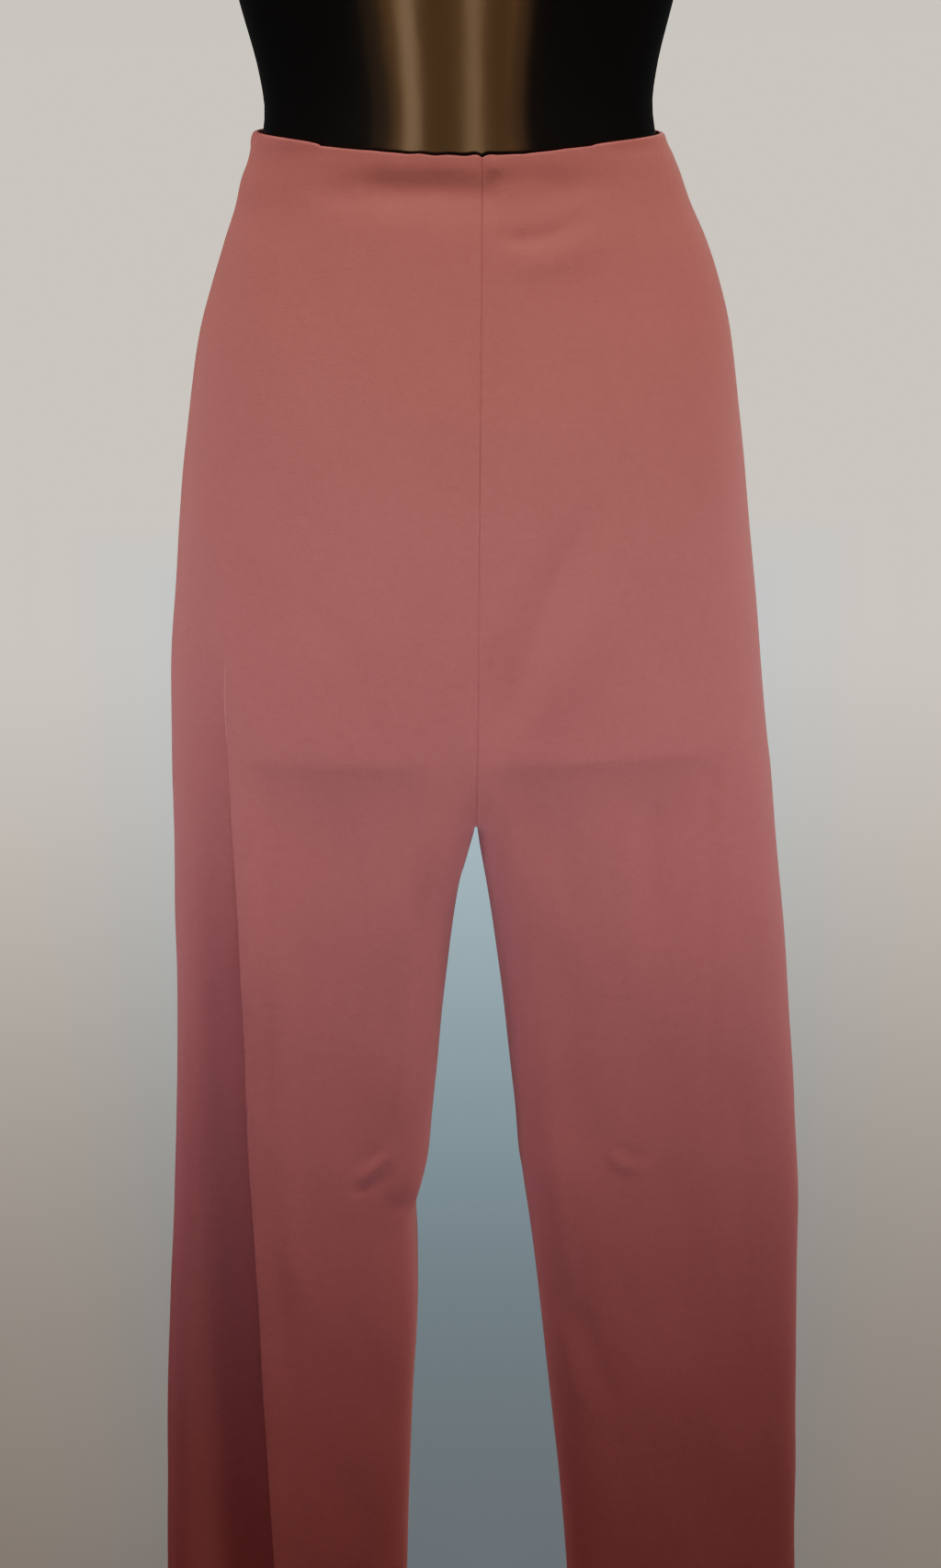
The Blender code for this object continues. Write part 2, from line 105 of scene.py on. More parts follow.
# Sections of the garment: half widths to the wearer's right and left, depths to the
# front and the back, and how square the section is (2 is an ellipse)
SECTIONS = table_of(
    "height right left front back roundness",
    (1.2220, 0.1240, 0.1238, 0.0895, 0.0790, 2.25),
    (1.2136, 0.1257, 0.1273, 0.0900, 0.0805, 2.25),
    (1.2028, 0.1299, 0.1317, 0.0905, 0.0830, 2.25),
    (1.1866, 0.1338, 0.1373, 0.0925, 0.0870, 2.25),
    (1.1649, 0.1417, 0.1468, 0.0960, 0.0930, 2.25),
    (1.1431, 0.1492, 0.1542, 0.0990, 0.0990, 2.25),
    (1.1100, 0.1587, 0.1622, 0.1030, 0.1080, 2.30),
    (1.0598, 0.1673, 0.1683, 0.1070, 0.1170, 2.35),
    (1.0032, 0.1741, 0.1739, 0.1080, 0.1210, 2.40),
    (0.9456, 0.1798, 0.1791, 0.1060, 0.1170, 2.45),
    (0.9000, 0.1838, 0.1832, 0.1012, 0.1060, 2.50),
    (0.8600, 0.1850, 0.1869, 0.0965, 0.0955, 2.52),
    (0.8400, 0.1857, 0.1893, 0.0932, 0.0925, 2.55),
    (0.7954, 0.1864, 0.1931, 0.0872, 0.0862, 2.58),
    (0.7361, 0.1877, 0.1986, 0.0792, 0.0782, 2.60),
    (0.6739, 0.1890, 0.2036, 0.0716, 0.0708, 2.60),
    (0.6106, 0.1921, 0.2081, 0.0652, 0.0645, 2.60),
    (0.5462, 0.1965, 0.2114, 0.0602, 0.0596, 2.60),
    (0.4806, 0.2016, 0.2118, 0.0566, 0.0560, 2.60),
    (0.4139, 0.2062, 0.2122, 0.0543, 0.0536, 2.60),
    (0.3459, 0.2089, 0.2126, 0.0528, 0.0520, 2.60),
    (0.2767, 0.2118, 0.2131, 0.0517, 0.0510, 2.60),
    (0.1500, 0.2158, 0.2140, 0.0505, 0.0500, 2.60),
    (0.0450, 0.2185, 0.2146, 0.0498, 0.0495, 2.60),
)

# Inseams of the two legs: how far each stands from the middle, outwards
INSEAMS = table_of(
    "height right left",
    (0.8100, -0.0043, 0.0046),
    (0.7980, -0.0015, 0.0057),
    (0.7860, 0.0017, 0.0075),
    (0.7736, 0.0053, 0.0094),
    (0.7500, 0.0095, 0.0127),
    (0.7180, 0.0140, 0.0165),
    (0.6870, 0.0180, 0.0200),
    (0.6500, 0.0220, 0.0234),
    (0.6106, 0.0263, 0.0272),
    (0.5820, 0.0293, 0.0291),
    (0.5660, 0.0328, 0.0315),
    (0.5560, 0.0358, 0.0327),
    (0.5460, 0.0385, 0.0341),
    (0.5136, 0.0378, 0.0381),
    (0.4806, 0.0381, 0.0415),
    (0.4139, 0.0424, 0.0477),
    (0.3459, 0.0462, 0.0541),
    (0.2767, 0.0494, 0.0590),
    (0.1500, 0.0540, 0.0660),
    (0.0450, 0.0575, 0.0710),
)

# Long drape folds down the outer side of a leg: the ridge and the valley beside it,
# measured outwards from the middle, and how far the valley lies back
FOLD_COLUMNS = "height ridge valley depth"
SIDE_FOLDS = {
    ("right", "front"): table_of(
        FOLD_COLUMNS,
        (1.2220, 0.0800, 0.1000, 0.000),
        (0.9400, 0.1420, 0.1560, 0.000),
        (0.8943, 0.1450, 0.1590, 0.003),
        (0.8536, 0.1445, 0.1600, 0.008),
        (0.8125, 0.1431, 0.1620, 0.014),
        (0.7529, 0.1418, 0.1650, 0.021),
        (0.6923, 0.1415, 0.1680, 0.026),
        (0.5993, 0.1418, 0.1710, 0.029),
        (0.5038, 0.1395, 0.1730, 0.031),
        (0.4058, 0.1378, 0.1750, 0.032),
        (0.3050, 0.1352, 0.1760, 0.032),
        (0.0450, 0.1310, 0.1770, 0.031),
    ),
    ("left", "back"): table_of(
        FOLD_COLUMNS,
        (1.2220, 0.0800, 0.1000, 0.000),
        (0.9200, 0.1330, 0.1500, 0.000),
        (0.8300, 0.1400, 0.1570, 0.006),
        (0.7000, 0.1470, 0.1680, 0.013),
        (0.5000, 0.1500, 0.1750, 0.017),
        (0.2500, 0.1500, 0.1770, 0.018),
        (0.0450, 0.1480, 0.1760, 0.018),
    ),
}
FOLD_RIDGE_LIFT = 0.10
FOLD_RIDGE_WIDTH = 0.012
FOLD_DROP = 0.06
FOLD_LOBE = 0.30
FOLD_LOBE_START = 0.80
LEAST_POCKET = 0.001

# Softer folds: where the middle of each trough starts and ends, its half width and depth
TROUGHS = table_of(
    "leg face top_x top_z foot_x foot_z half_width depth",
    ("right", "front", -0.080, 0.860, -0.083, 0.000, 0.026, 0.0040),
    ("left", "front", 0.034, 0.862, 0.075, 0.560, 0.016, 0.0030),
    ("left", "front", 0.118, 0.862, 0.135, 0.420, 0.026, 0.0035),
    ("left", "front", 0.080, 1.035, 0.014, 0.870, 0.016, 0.0015),
    ("right", "back", -0.070, 0.870, -0.098, 0.000, 0.026, 0.0070),
    ("right", "back", -0.150, 0.840, -0.160, 0.100, 0.014, 0.0040),
    ("left", "back", 0.062, 0.870, 0.112, 0.000, 0.024, 0.0060),
)
TROUGH_FADE = 0.090
TROUGH_START = 0.3

# The cloth dips just under the elastic across the front of the waist
DIP_Z = 1.1950
DIP_RISE = 0.08
DIP_HALF_HEIGHT = 0.0120
DIP_MIDDLE_X = 0.006
DIP_HALF_WIDTH = 0.072
DIP_DEPTH = 0.0048

# Creases on the face of the cloth, in millimetres, each along a few points (x, z). A
# trough has a depth above zero, a ridge one below zero. Each swells and fades
MM = 0.001
CREASE_COLUMNS = "depth half_width points"
CREASES = {
    ("right", "front"): table_of(
        CREASE_COLUMNS,
        # Waist: the dip under the elastic
        (1.2, 8.0, ((-66, 1205), (-26, 1202), (24, 1203))),
        (0.9, 9.0, ((-95, 1203), (-55, 1195), (-12, 1196))),
        # Hip
        (0.5, 11.0, ((-124, 980), (-80, 945), (-40, 900))),
        # Leg: long soft ridges, knee creases, the kink at the inseam
        (-2.3, 10.0, ((-114.1, 840), (-118.9, 698.8), (-120.6, 570.9), (-113, 438.8))),
        (-1.6, 9.0, ((-26.3, 830), (-42.2, 692.7), (-50, 605))),
        (0.9, 3.4, ((-56, 608), (-61, 601), (-67.6, 593.1), (-79, 585))),
        (-1.3, 3.4, ((-52, 601), (-63, 590), (-76, 580))),
        (1.3, 3.0, ((-47, 599), (-56, 583.5), (-68.1, 575.6), (-80, 570.5))),
        (0.8, 6.0, ((-39, 553), (-48, 559), (-60, 564))),
        (-0.7, 6.0, ((-40, 544), (-50, 547), (-64, 545))),
        (1.3, 11.0, ((-70, 330), (-90, 250), (-84, 150))),
        (-1.3, 9.0, ((-112, 290), (-106, 210), (-110, 90))),
    ),
    ("left", "front"): table_of(
        CREASE_COLUMNS,
        # Waist: the tuck beside the seam, the wrinkle
        (-1.2, 4.0, ((18, 1220), (19.5, 1214), (21.5, 1207))),
        (-1.5, 8.0, ((17, 1195.5), (31, 1197), (58, 1201))),
        (1.7, 5.5, ((14, 1174.2), (34, 1172.2), (52, 1174.5), (84, 1190))),
        (-1.1, 8.5, ((16, 1164), (42, 1159), (64, 1164), (90, 1178))),
        # Hip: drag lines down to the fork
        (1.8, 10.5, ((91.4, 1039.3), (55.6, 982.7), (35.9, 930.2), (20.3, 888.9), (13, 856))),
        (-1.6, 15.0, ((96, 990), (71.7, 943.6), (59.7, 913.2), (48, 878))),
        (0.7, 6.0, ((9, 970), (17.5, 980.2), (29, 996))),
        (0.7, 4.5, ((8, 918), (14, 926), (23, 940))),
        # Leg: knee crease, the troughs under the print, long soft ridges
        (-1.0, 2.8, ((83, 606), (89.5, 595), (98, 590), (115, 588))),
        (0.4, 5.0, ((91, 606), (97.5, 598.5), (108, 595.5))),
        (1.4, 10.0, ((112, 850), (111, 800), (114, 730))),
        (1.0, 8.0, ((56, 850), (58, 800), (62, 750))),
        (-1.3, 6.0, ((49.3, 496), (59.7, 448.4), (74, 400))),
        (1.1, 7.5, ((64, 505), (76, 456), (90, 410))),
        (-1.8, 8.0, ((48, 640), (52, 560), (62, 470))),
        (1.3, 12.0, ((165, 700), (172, 540), (170, 360))),
        (-1.3, 10.0, ((130, 320), (138, 220), (132, 100))),
    ),
    ("right", "back"): table_of(
        CREASE_COLUMNS,
        # Waist and seat
        (1.5, 4.8, ((-18, 1199), (-43, 1190), (-74, 1196))),
        (-1.0, 6.2, ((-24, 1187), (-48, 1179), (-78, 1184))),
        (1.5, 11.0, ((-124, 908), (-80, 892), (-34, 860))),
        (1.4, 8.0, ((-102, 842), (-66, 838), (-28, 818))),
        # Behind the knee, and long soft ones to the hem
        (1.6, 5.0, ((-56, 606), (-76, 593), (-104, 598))),
        (-1.2, 5.0, ((-60, 594), (-80, 582), (-104, 586))),
        (1.4, 4.2, ((-88, 556), (-108, 548), (-130, 556))),
        (-1.8, 11.0, ((-128, 800), (-126, 620), (-134, 420))),
        (1.2, 10.0, ((-64, 400), (-72, 260), (-80, 110))),
    ),
    ("left", "back"): table_of(
        CREASE_COLUMNS,
        # Waist and seat
        (1.2, 6.0, ((8, 1203), (38, 1196), (80, 1202))),
        (1.0, 5.2, ((22, 1164), (42, 1156), (69, 1162))),
        (1.5, 10.0, ((118, 916), (76, 890), (30, 856))),
        (-1.2, 8.5, ((108, 898), (70, 870), (36, 840))),
        (1.2, 7.0, ((90, 838), (60, 828), (30, 802))),
        # Behind the knee, and long soft ones to the hem
        (1.8, 4.8, ((52, 588), (76, 574), (106, 583))),
        (-1.4, 5.2, ((56, 576), (80, 562), (108, 570))),
        (1.2, 4.0, ((94, 624), (112, 618), (130, 626))),
        (-1.5, 10.0, ((66, 760), (78, 640), (84, 470))),
        (1.2, 11.0, ((122, 360), (118, 240), (124, 100))),
    ),
}
CREASE_STEPS = 14
CREASE_TAPER = 0.34
CREASE_GAIN = 1.4
CREASE_MARGIN = 3.0

# The lower edge of the torso form shows through the cloth as a small step
Print = namedtuple("Print", "inner_x outer_x")
PRINTS = {
    ("right", "front"): Print(0.036, 0.122),
    ("left", "front"): Print(0.022, 0.146),
    ("right", "back"): Print(0.040, 0.130),
    ("left", "back"): Print(0.036, 0.128),
}
PRINT_Z = 0.8605
PRINT_STEP = 0.0007
PRINT_HEIGHT = 0.0050
PRINT_DROP = 0.0056
PRINT_REACH = 0.030
PRINT_RETURN = 0.120
PRINT_END = 0.014

# Small puckers of the turned edge: place along x, how far the edge rises, half width
PUCKERS = table_of(
    "face x lift half_width",
    ("front", -0.0500, 0.0002, 0.0050),
    ("front", -0.0300, -0.0003, 0.0034),
    ("front", -0.0225, 0.0004, 0.0026),
    ("front", -0.0140, -0.0004, 0.0030),
    ("front", -0.0060, 0.0003, 0.0024),
    ("front", 0.0030, -0.0003, 0.0026),
    ("front", 0.0090, 0.0005, 0.0024),
    ("front", 0.0133, -0.0009, 0.0016),
    ("front", 0.0180, 0.0004, 0.0028),
    ("front", 0.0370, -0.0003, 0.0040),
    ("front", 0.0620, 0.0003, 0.0060),
    ("back", -0.0620, 0.0003, 0.0050),
    ("back", -0.0360, -0.0004, 0.0036),
    ("back", -0.0200, 0.0004, 0.0028),
    ("back", -0.0080, -0.0009, 0.0016),
    ("back", 0.0040, 0.0004, 0.0030),
    ("back", 0.0240, -0.0004, 0.0036),
    ("back", 0.0520, 0.0003, 0.0052),
)
PUCKER_DEPTH = 0.012

# The top edge curls in towards the form at the two sides
CURL = 0.0022
CURL_HEIGHT = 0.0075
CURL_SHARE = 0.70

# Slow unevenness of hanging cloth: wave lengths across and down, height and phase
WAVES = table_of(
    "across down height phase",
    (0.083, 0.410, 0.00022, 0.4),
    (0.047, 0.155, 0.00014, 2.1),
    (0.121, 0.093, 0.00016, 4.4),
    (0.031, 0.067, 0.00006, 1.3),
)

# Rows and columns of the cloth grids
ROW_HEIGHT = 0.0036
WAIST_ROW_HEIGHT = 0.0020
WAIST_BAND = 0.062
HEM_ROWS = 7
CASING_ROWS = 9
TURN_STEP = 0.0003
RIM_STEPS = (0.0, 0.00012, 0.0004, 0.0008, 0.0014, 0.0022)
RIM_SHARE = 0.97
EDGE_SHARES = (0.0, 0.0014, 0.0032, 0.0058, 0.0100, 0.0160)
SEAM_COLUMNS = 44
SIDE_COLUMNS = 52
SPLIT_AT = 0.5
SPLIT_SHARE = 0.58
NORMAL_STEP = 0.0005
SHARE_STEP = 0.004
SHARP_ANGLE = math.radians(40.0)

# Shares of a row: where the normals turn into the seam's plane, and where the creases
# begin. The last number is about how long a row is for its half width
EDGE_NORMAL_SHARE = 0.012
CALM_SHARE = 0.03
ROW_TO_HALF_WIDTH = 1.3

# Seam allowances inside the cloth, and the thread over the hem's inner edge
ALLOWANCE_WIDTH = 0.0090
ALLOWANCE_WALL = 0.0004
ALLOWANCE_STEPS = (-1.0, -0.66, -0.33, -0.05, 0.05, 0.33, 0.66, 1.0)
ALLOWANCE_ROW = 0.008
ALLOWANCE_DEPTH = CREPE_WALL + 0.0001
FORK_CLEAR = 0.004
TURN_CLEAR = 0.002
NEAR_SEAM_SHARE = 0.12
NEAR_SEAM_POINTS = 60
NEAR_SEAM_POWER = 1.5
THREAD_RADIUS = 0.00022
THREAD_PITCH = 0.0030
THREAD_HEIGHT = 0.0045
THREAD_END_SHARE = 0.004
THREAD_POINTS = 600

# Torso form: half width, depths to the front and back, squareness
FORM_SECTIONS = table_of(
    "height half_width front back roundness",
    (0.8580, 0.1300, 0.0865, 0.0760, 2.60),
    (0.8700, 0.1360, 0.0890, 0.0800, 2.55),
    (0.9000, 0.1480, 0.0945, 0.0920, 2.50),
    (0.9456, 0.1620, 0.0995, 0.1080, 2.40),
    (1.0032, 0.1702, 0.1020, 0.1170, 2.35),
    (1.0598, 0.1636, 0.1018, 0.1143, 2.30),
    (1.1100, 0.1550, 0.0984, 0.1057, 2.27),
    (1.1431, 0.1455, 0.0946, 0.0966, 2.22),
    (1.1649, 0.1381, 0.0910, 0.0904, 2.20),
    (1.1866, 0.1300, 0.0852, 0.0838, 2.20),
    (1.2028, 0.1240, 0.0806, 0.0790, 2.20),
    (1.2136, 0.1200, 0.0818, 0.0765, 2.20),
    (1.2260, 0.1168, 0.0838, 0.0745, 2.20),
    (1.2430, 0.1150, 0.0838, 0.0735, 2.20),
    (1.2615, 0.1172, 0.0845, 0.0745, 2.20),
    (1.3035, 0.1275, 0.0885, 0.0810, 2.20),
    (1.3500, 0.1385, 0.0985, 0.0890, 2.20),
    (1.4050, 0.1490, 0.1130, 0.0955, 2.15),
    (1.4550, 0.1560, 0.1070, 0.1000, 2.15),
    (1.5050, 0.1630, 0.0900, 0.1000, 2.20),
    (1.5400, 0.1640, 0.0760, 0.0930, 2.30),
    (1.5700, 0.1500, 0.0640, 0.0810, 2.35),
    (1.5900, 0.1180, 0.0560, 0.0700, 2.20),
    (1.6080, 0.0800, 0.0500, 0.0610, 2.05),
    (1.6250, 0.0590, 0.0480, 0.0560, 2.00),
    (1.6800, 0.0530, 0.0470, 0.0520, 2.00),
)
FORM_SEGMENTS = 144
FORM_ROW = 0.008
FORM_RIM = 0.004
FORM_RIM_TURNS = (0.0, 22.5, 45.0, 67.5)

# Stand
POLE_X = -0.095
POLE_Y = 0.006
POLE_RADIUS = 0.011
FLANGE_RADIUS = 0.032
COLLAR_RADIUS = 0.026
COLLAR_STRAIGHT = 0.4
COLLAR_LIP = 0.003
COLLAR_EDGE = 0.0010
COLLAR_EASE = 0.0006
SHOULDER_IN = 0.0012
SHOULDER_UP = 0.0008
POLE_EDGE = 0.0008
FLANGE_EDGE = 0.0010
EASE_SHARE = 0.3
TURNED_STEPS = 72
TURNED_MERGE = 1e-6
BASE_CORNER = 0.060
BASE_CORNER_STEPS = 24
BASE_EDGE = 0.0016
BASE_EDGE_STEPS = 3
SEAT_GAP = 0.0003
SCREW_SIDES = 24
SCREW_RADIUS = 0.0035
SCREW_LENGTH = 0.004
SCREW_WALL_SHARE = 0.45
SCREW_SOCKET_DEPTH = 0.0016
SCREW_INSET = 0.0012

LEG_SIGN = {"right": -1.0, "left": 1.0}
FACE_SIGN = {"front": -1.0, "back": 1.0}


# Smooth curves through the tables

@lru_cache(maxsize=None)
def table_curve(table, name):
    """Heights, values and slopes of one column of a table, lowest row first."""
    rows = sorted(table, key=lambda row: row.height)
    heights = np.array([row.height for row in rows])
    values = np.array([getattr(row, name) for row in rows])
    steps = np.diff(values) / np.diff(heights)
    before, after = steps[:-1], steps[1:]
    slopes = np.zeros(len(rows))
    same_way = before * after > 0.0
    slopes[1:-1][same_way] = (2 * before * after)[same_way] / (before + after)[same_way]
    return heights, values, slopes


def along(table, name, height):
    """Values of a table's column at many heights, on a smooth curve through its rows."""
    heights, values, slopes = table_curve(table, name)
    height = np.clip(height, heights[0], heights[-1])
    low = np.clip(np.searchsorted(heights, height) - 1, 0, len(heights) - 2)
    span = heights[low + 1] - heights[low]
    share = (height - heights[low]) / span
    square, cube = share ** 2, share ** 3
    return ((2 * cube - 3 * square + 1) * values[low]
            + (cube - 2 * square + share) * slopes[low] * span
            + (3 * square - 2 * cube) * values[low + 1]
            + (cube - square) * slopes[low + 1] * span)


def smooth_step(value):
    """Zero up to 0, one from 1, and a soft rise between them."""
    value = np.clip(value, 0.0, 1.0)
    return value * value * (3.0 - 2.0 * value)


def mix(start, end, share):
    return start + (end - start) * share


def bell(value):
    return np.exp(-value ** 2)


# Form of the cloth, as the solids have it

def fold_shift(ridge, valley, depth, outer, reach):
    """How far the outer drape fold sets the surface back at a distance from the middle.

    The cloth drops straight off the ridge and comes forward again towards the side.
    """
    lit_side = -FOLD_RIDGE_LIFT * depth * bell((ridge - reach) / FOLD_RIDGE_WIDTH)
    foot = ridge + FOLD_DROP * (valley - ridge)
    drop = depth * mix(-FOLD_RIDGE_LIFT, 1.0, smooth_step((reach - ridge) / (foot - ridge)))
    lobe_start = valley + FOLD_LOBE_START * (outer - valley)
    floor_share = (reach - foot) / np.maximum(lobe_start - foot, LEAST_POCKET)
    pocket = depth * mix(1.0, FOLD_LOBE, smooth_step(floor_share))
    return np.where(reach <= ridge, lit_side, np.where(reach <= foot, drop, pocket))


def trough_shift(leg, face, x, height):
    """How far the soft troughs set the surface back at a place."""
    total = np.zeros_like(x)
    for trough in TROUGHS:
        if (trough.leg, trough.face) != (leg, face):
            continue
        share = (trough.top_z - height) / (trough.top_z - trough.foot_z)
        middle = mix(trough.top_x, trough.foot_x, np.clip(share, 0.0, 1.0))
        fade = smooth_step((trough.top_z - height) / TROUGH_FADE + TROUGH_START)
        if trough.foot_z > HEM_Z:
            fade = fade * smooth_step((height - trough.foot_z) / TROUGH_FADE)
        total += trough.depth * fade * bell((x - middle) / trough.half_width)
    return total


def waist_dip(x, height):
    """The dip under the elastic, across the front, which climbs with the waist edge."""
    middle_z = DIP_Z + DIP_RISE * np.abs(x - DIP_MIDDLE_X)
    return DIP_DEPTH * np.exp(-((height - middle_z) / DIP_HALF_HEIGHT) ** 2
                              - ((x - DIP_MIDDLE_X) / DIP_HALF_WIDTH) ** 4)


def form_point(leg, face, height, share):
    """Points of a panel's outer surface at heights and shares of the way round to the side."""
    sign = LEG_SIGN[leg]
    centre_lift, side_lift = WAIST_LIFTS[leg, face]
    rise = smooth_step((height - LIFT_FOOT_Z) / (WAIST_Z - LIFT_FOOT_Z))
    height = height + rise * mix(centre_lift, side_lift, smooth_step(share))
    outer = along(SECTIONS, leg, height)
    waist_x = FRONT_SEAM_WAIST_X if face == "front" else BACK_SEAM_WAIST_X
    over_fork = np.maximum(0.0, height - FORK_Z)
    seam = sign * mix(FORK_X, waist_x, over_fork / (WAIST_Z - FORK_Z)) + SEAM_GAP / 2
    seam = np.where(height < FORK_Z, np.maximum(seam, along(INSEAMS, leg, height)), seam)
    legness = smooth_step((LEG_START_Z - height) / (LEG_START_Z - LEG_FULL_Z))
    middle = (seam + outer) / 2
    crown = mix(0.0, middle, legness)
    inner_width = mix(FORK_WIDTH, middle - seam, legness ** LEG_WIDTH_POWER)
    fold = fold_at(leg, face, height)
    reach = reach_at(seam, outer, legness, fold, share)

    outwards = np.minimum(1.0, np.abs(reach - crown) / (outer - crown))
    outwards = np.where(reach < crown, outwards * (1.0 - legness), outwards)
    roundness = along(SECTIONS, "roundness", height)
    roll = (1.0 - outwards ** roundness) ** (1.0 / roundness)
    apart = np.minimum(1.0, np.hypot((reach - seam) / inner_width, over_fork / FORK_RISE))
    edge = (1.0 - (1.0 - apart) ** INSEAM_POWER) ** (1.0 / INSEAM_POWER)
    full_depth = along(SECTIONS, face, height)
    depth = full_depth * roll * edge
    free = smooth_step(depth / full_depth / SEAM_FADE)
    if fold:
        depth = depth - fold_shift(*fold, outer, reach) * smooth_step(roll / SIDE_FADE)
    depth = depth - trough_shift(leg, face, sign * reach, height) * free
    if face == "front":
        depth = depth - waist_dip(sign * reach, height) * free
    return np.stack([sign * reach, FACE_SIGN[face] * (depth + SEAM_GAP / 2), height], axis=-1)


def fold_at(leg, face, height):
    """Ridge, valley and depth of a panel's side fold at many heights, if it has one."""
    fold = SIDE_FOLDS.get((leg, face))
    if not fold:
        return ()
    return tuple(along(fold, name, height) for name in ("ridge", "valley", "depth"))


def reach_at(seam, outer, legness, fold, share):
    """Distances from the middle of grid columns: closer together at rounded edges."""
    split = fold[0] if fold else mix(seam, outer, SPLIT_SHARE)
    part = share / SPLIT_AT
    inside = mix(seam, split, mix(part, 1.0 - np.cos(math.pi / 2 * part), legness))
    part = np.clip((share - SPLIT_AT) / (1.0 - SPLIT_AT), 0.0, 1.0)
    outside = mix(split, outer, (1.0 - np.cos(math.pi * part)) / 2)
    return np.where(share <= SPLIT_AT, inside, outside)


def outward(leg, face, height, share):
    """Unit normals of the surface. At a seam they lie in the seam's own plane."""
    above = np.minimum(WAIST_Z, height + NORMAL_STEP)
    below = np.maximum(HEM_Z, height - NORMAL_STEP)
    start = np.maximum(0.0, share - SHARE_STEP)
    end = np.minimum(1.0, share + SHARE_STEP)
    across = form_point(leg, face, height, end) - form_point(leg, face, height, start)
    down = form_point(leg, face, below, share) - form_point(leg, face, above, share)
    normal = np.cross(across, down) * LEG_SIGN[leg] * FACE_SIGN[face]
    normal /= np.linalg.norm(normal, axis=-1, keepdims=True)
    near_side = smooth_step(1.0 - (1.0 - share) / EDGE_NORMAL_SHARE)
    near_seam = smooth_step(1.0 - share / EDGE_NORMAL_SHARE)
    in_leg = np.where(height < FORK_Z, near_seam, 0.0)
    normal[..., 1] *= 1.0 - np.maximum(near_side, in_leg)
    leaning = (normal[..., 0] * LEG_SIGN[leg] > 0.0) & (height >= FORK_Z)
    normal[..., 0] *= np.where(leaning, 1.0 - near_seam, 1.0)
    return normal / np.linalg.norm(normal, axis=-1, keepdims=True)


# Creases and other relief on that form, positive outwards

def smooth_path(points):
    """Points along a smooth curve through a crease's own points."""
    points = np.array(points)
    ends = np.vstack([2 * points[0] - points[1], points, 2 * points[-1] - points[-2]])
    path = []
    for index in range(1, len(ends) - 2):
        before, start, end, after = ends[index - 1:index + 3]
        for share in np.arange(0.0, 1.0, 1.0 / CREASE_STEPS):
            path.append(0.5 * (2 * start + (end - before) * share
                               + (2 * before - 5 * start + 4 * end - after) * share ** 2
                               + (3 * start - before - 3 * end + after) * share ** 3))
    return np.vstack([path, points[-1]])


def crease_relief(leg, face, x, z):
    """All the panel's creases, each a soft trough or ridge that fades to its ends."""
    relief = np.zeros_like(x)
    for crease in CREASES[leg, face]:
        path = smooth_path(crease.points) * MM
        half_width = crease.half_width * MM
        margin = CREASE_MARGIN * half_width
        near = ((x > path[:, 0].min() - margin) & (x < path[:, 0].max() + margin)
                & (z > path[:, 1].min() - margin) & (z < path[:, 1].max() + margin))
        spots = np.stack([x[near], z[near]], axis=-1)
        gaps = np.linalg.norm(spots[:, None, :] - path[None, :, :], axis=-1)
        nearest = gaps.argmin(axis=1)
        share = nearest / (len(path) - 1)
        taper = smooth_step(share / CREASE_TAPER) * smooth_step((1.0 - share) / CREASE_TAPER)
        depth = crease.depth * MM * CREASE_GAIN
        relief[near] -= depth * taper * bell(gaps.min(axis=1) / half_width)
    return relief


def print_relief(leg, face, x, z):
    """The small step, and the slope below it, where the cloth leaves the form's lower edge."""
    mark = PRINTS[leg, face]
    reach = x * LEG_SIGN[leg]
    within = smooth_step((reach - mark.inner_x) / PRINT_END + 1.0) \
        * smooth_step((mark.outer_x - reach) / PRINT_END + 1.0)
    below = np.maximum(0.0, PRINT_Z - z)
    step = smooth_step((PRINT_Z - z) / PRINT_HEIGHT + 0.5) * np.exp(-below / PRINT_REACH)
    drop = (1.0 - np.exp(-below / PRINT_REACH)) * np.exp(-below / PRINT_RETURN)
    return -within * (PRINT_STEP * step + PRINT_DROP * drop)


def wave_relief(x, z):
    """Slow unevenness all over."""
    total = np.zeros_like(x)
    for wave in WAVES:
        total += wave.height * np.sin(2 * math.pi * (x / wave.across + z / wave.down) + wave.phase)
    return total


def curl_relief(height, share):
    """The top edge leans in towards the form at the sides."""
    near_top = np.clip(1.0 - (WAIST_Z - height) / CURL_HEIGHT, 0.0, 1.0)
    return -CURL * near_top ** 2 * smooth_step((share - CURL_SHARE) / (1.0 - CURL_SHARE))


def pucker_lift(face, x, height):
    """How far the puckers raise the turned edge and the rows just under it."""
    near_top = smooth_step(1.0 - (WAIST_Z - height) / PUCKER_DEPTH)
    total = np.zeros_like(x)
    for pucker in PUCKERS:
        if pucker.face == face:
            total += pucker.lift * bell((x - pucker.x) / pucker.half_width)
    return total * near_top


def wall_at(height):
    """The cloth's thickness at a height: more where an edge is turned in."""
    wall = np.where(height >= CASING_FOOT_Z, CASING_WALL, CREPE_WALL)
    return np.where(height <= HEM_FOLD_Z, HEM_WALL, wall)


def rim_round(height, wall):
    """How far each skin turns in so that the turned edges are round."""
    half = wall / 2
    gap = np.minimum(WAIST_Z - height, height - HEM_Z)
    inside = np.clip(1.0 - gap / half, 0.0, RIM_SHARE)
    return half * (1.0 - np.sqrt(1.0 - inside ** 2))


def seam_round(share, width):
    """How far the outer skin rolls in at the panel's seams."""
    gap = np.minimum(share, 1.0 - share) * width
    return SEAM_ROLL * np.clip(1.0 - gap / SEAM_ROLL_WIDTH, 0.0, 1.0) ** 2


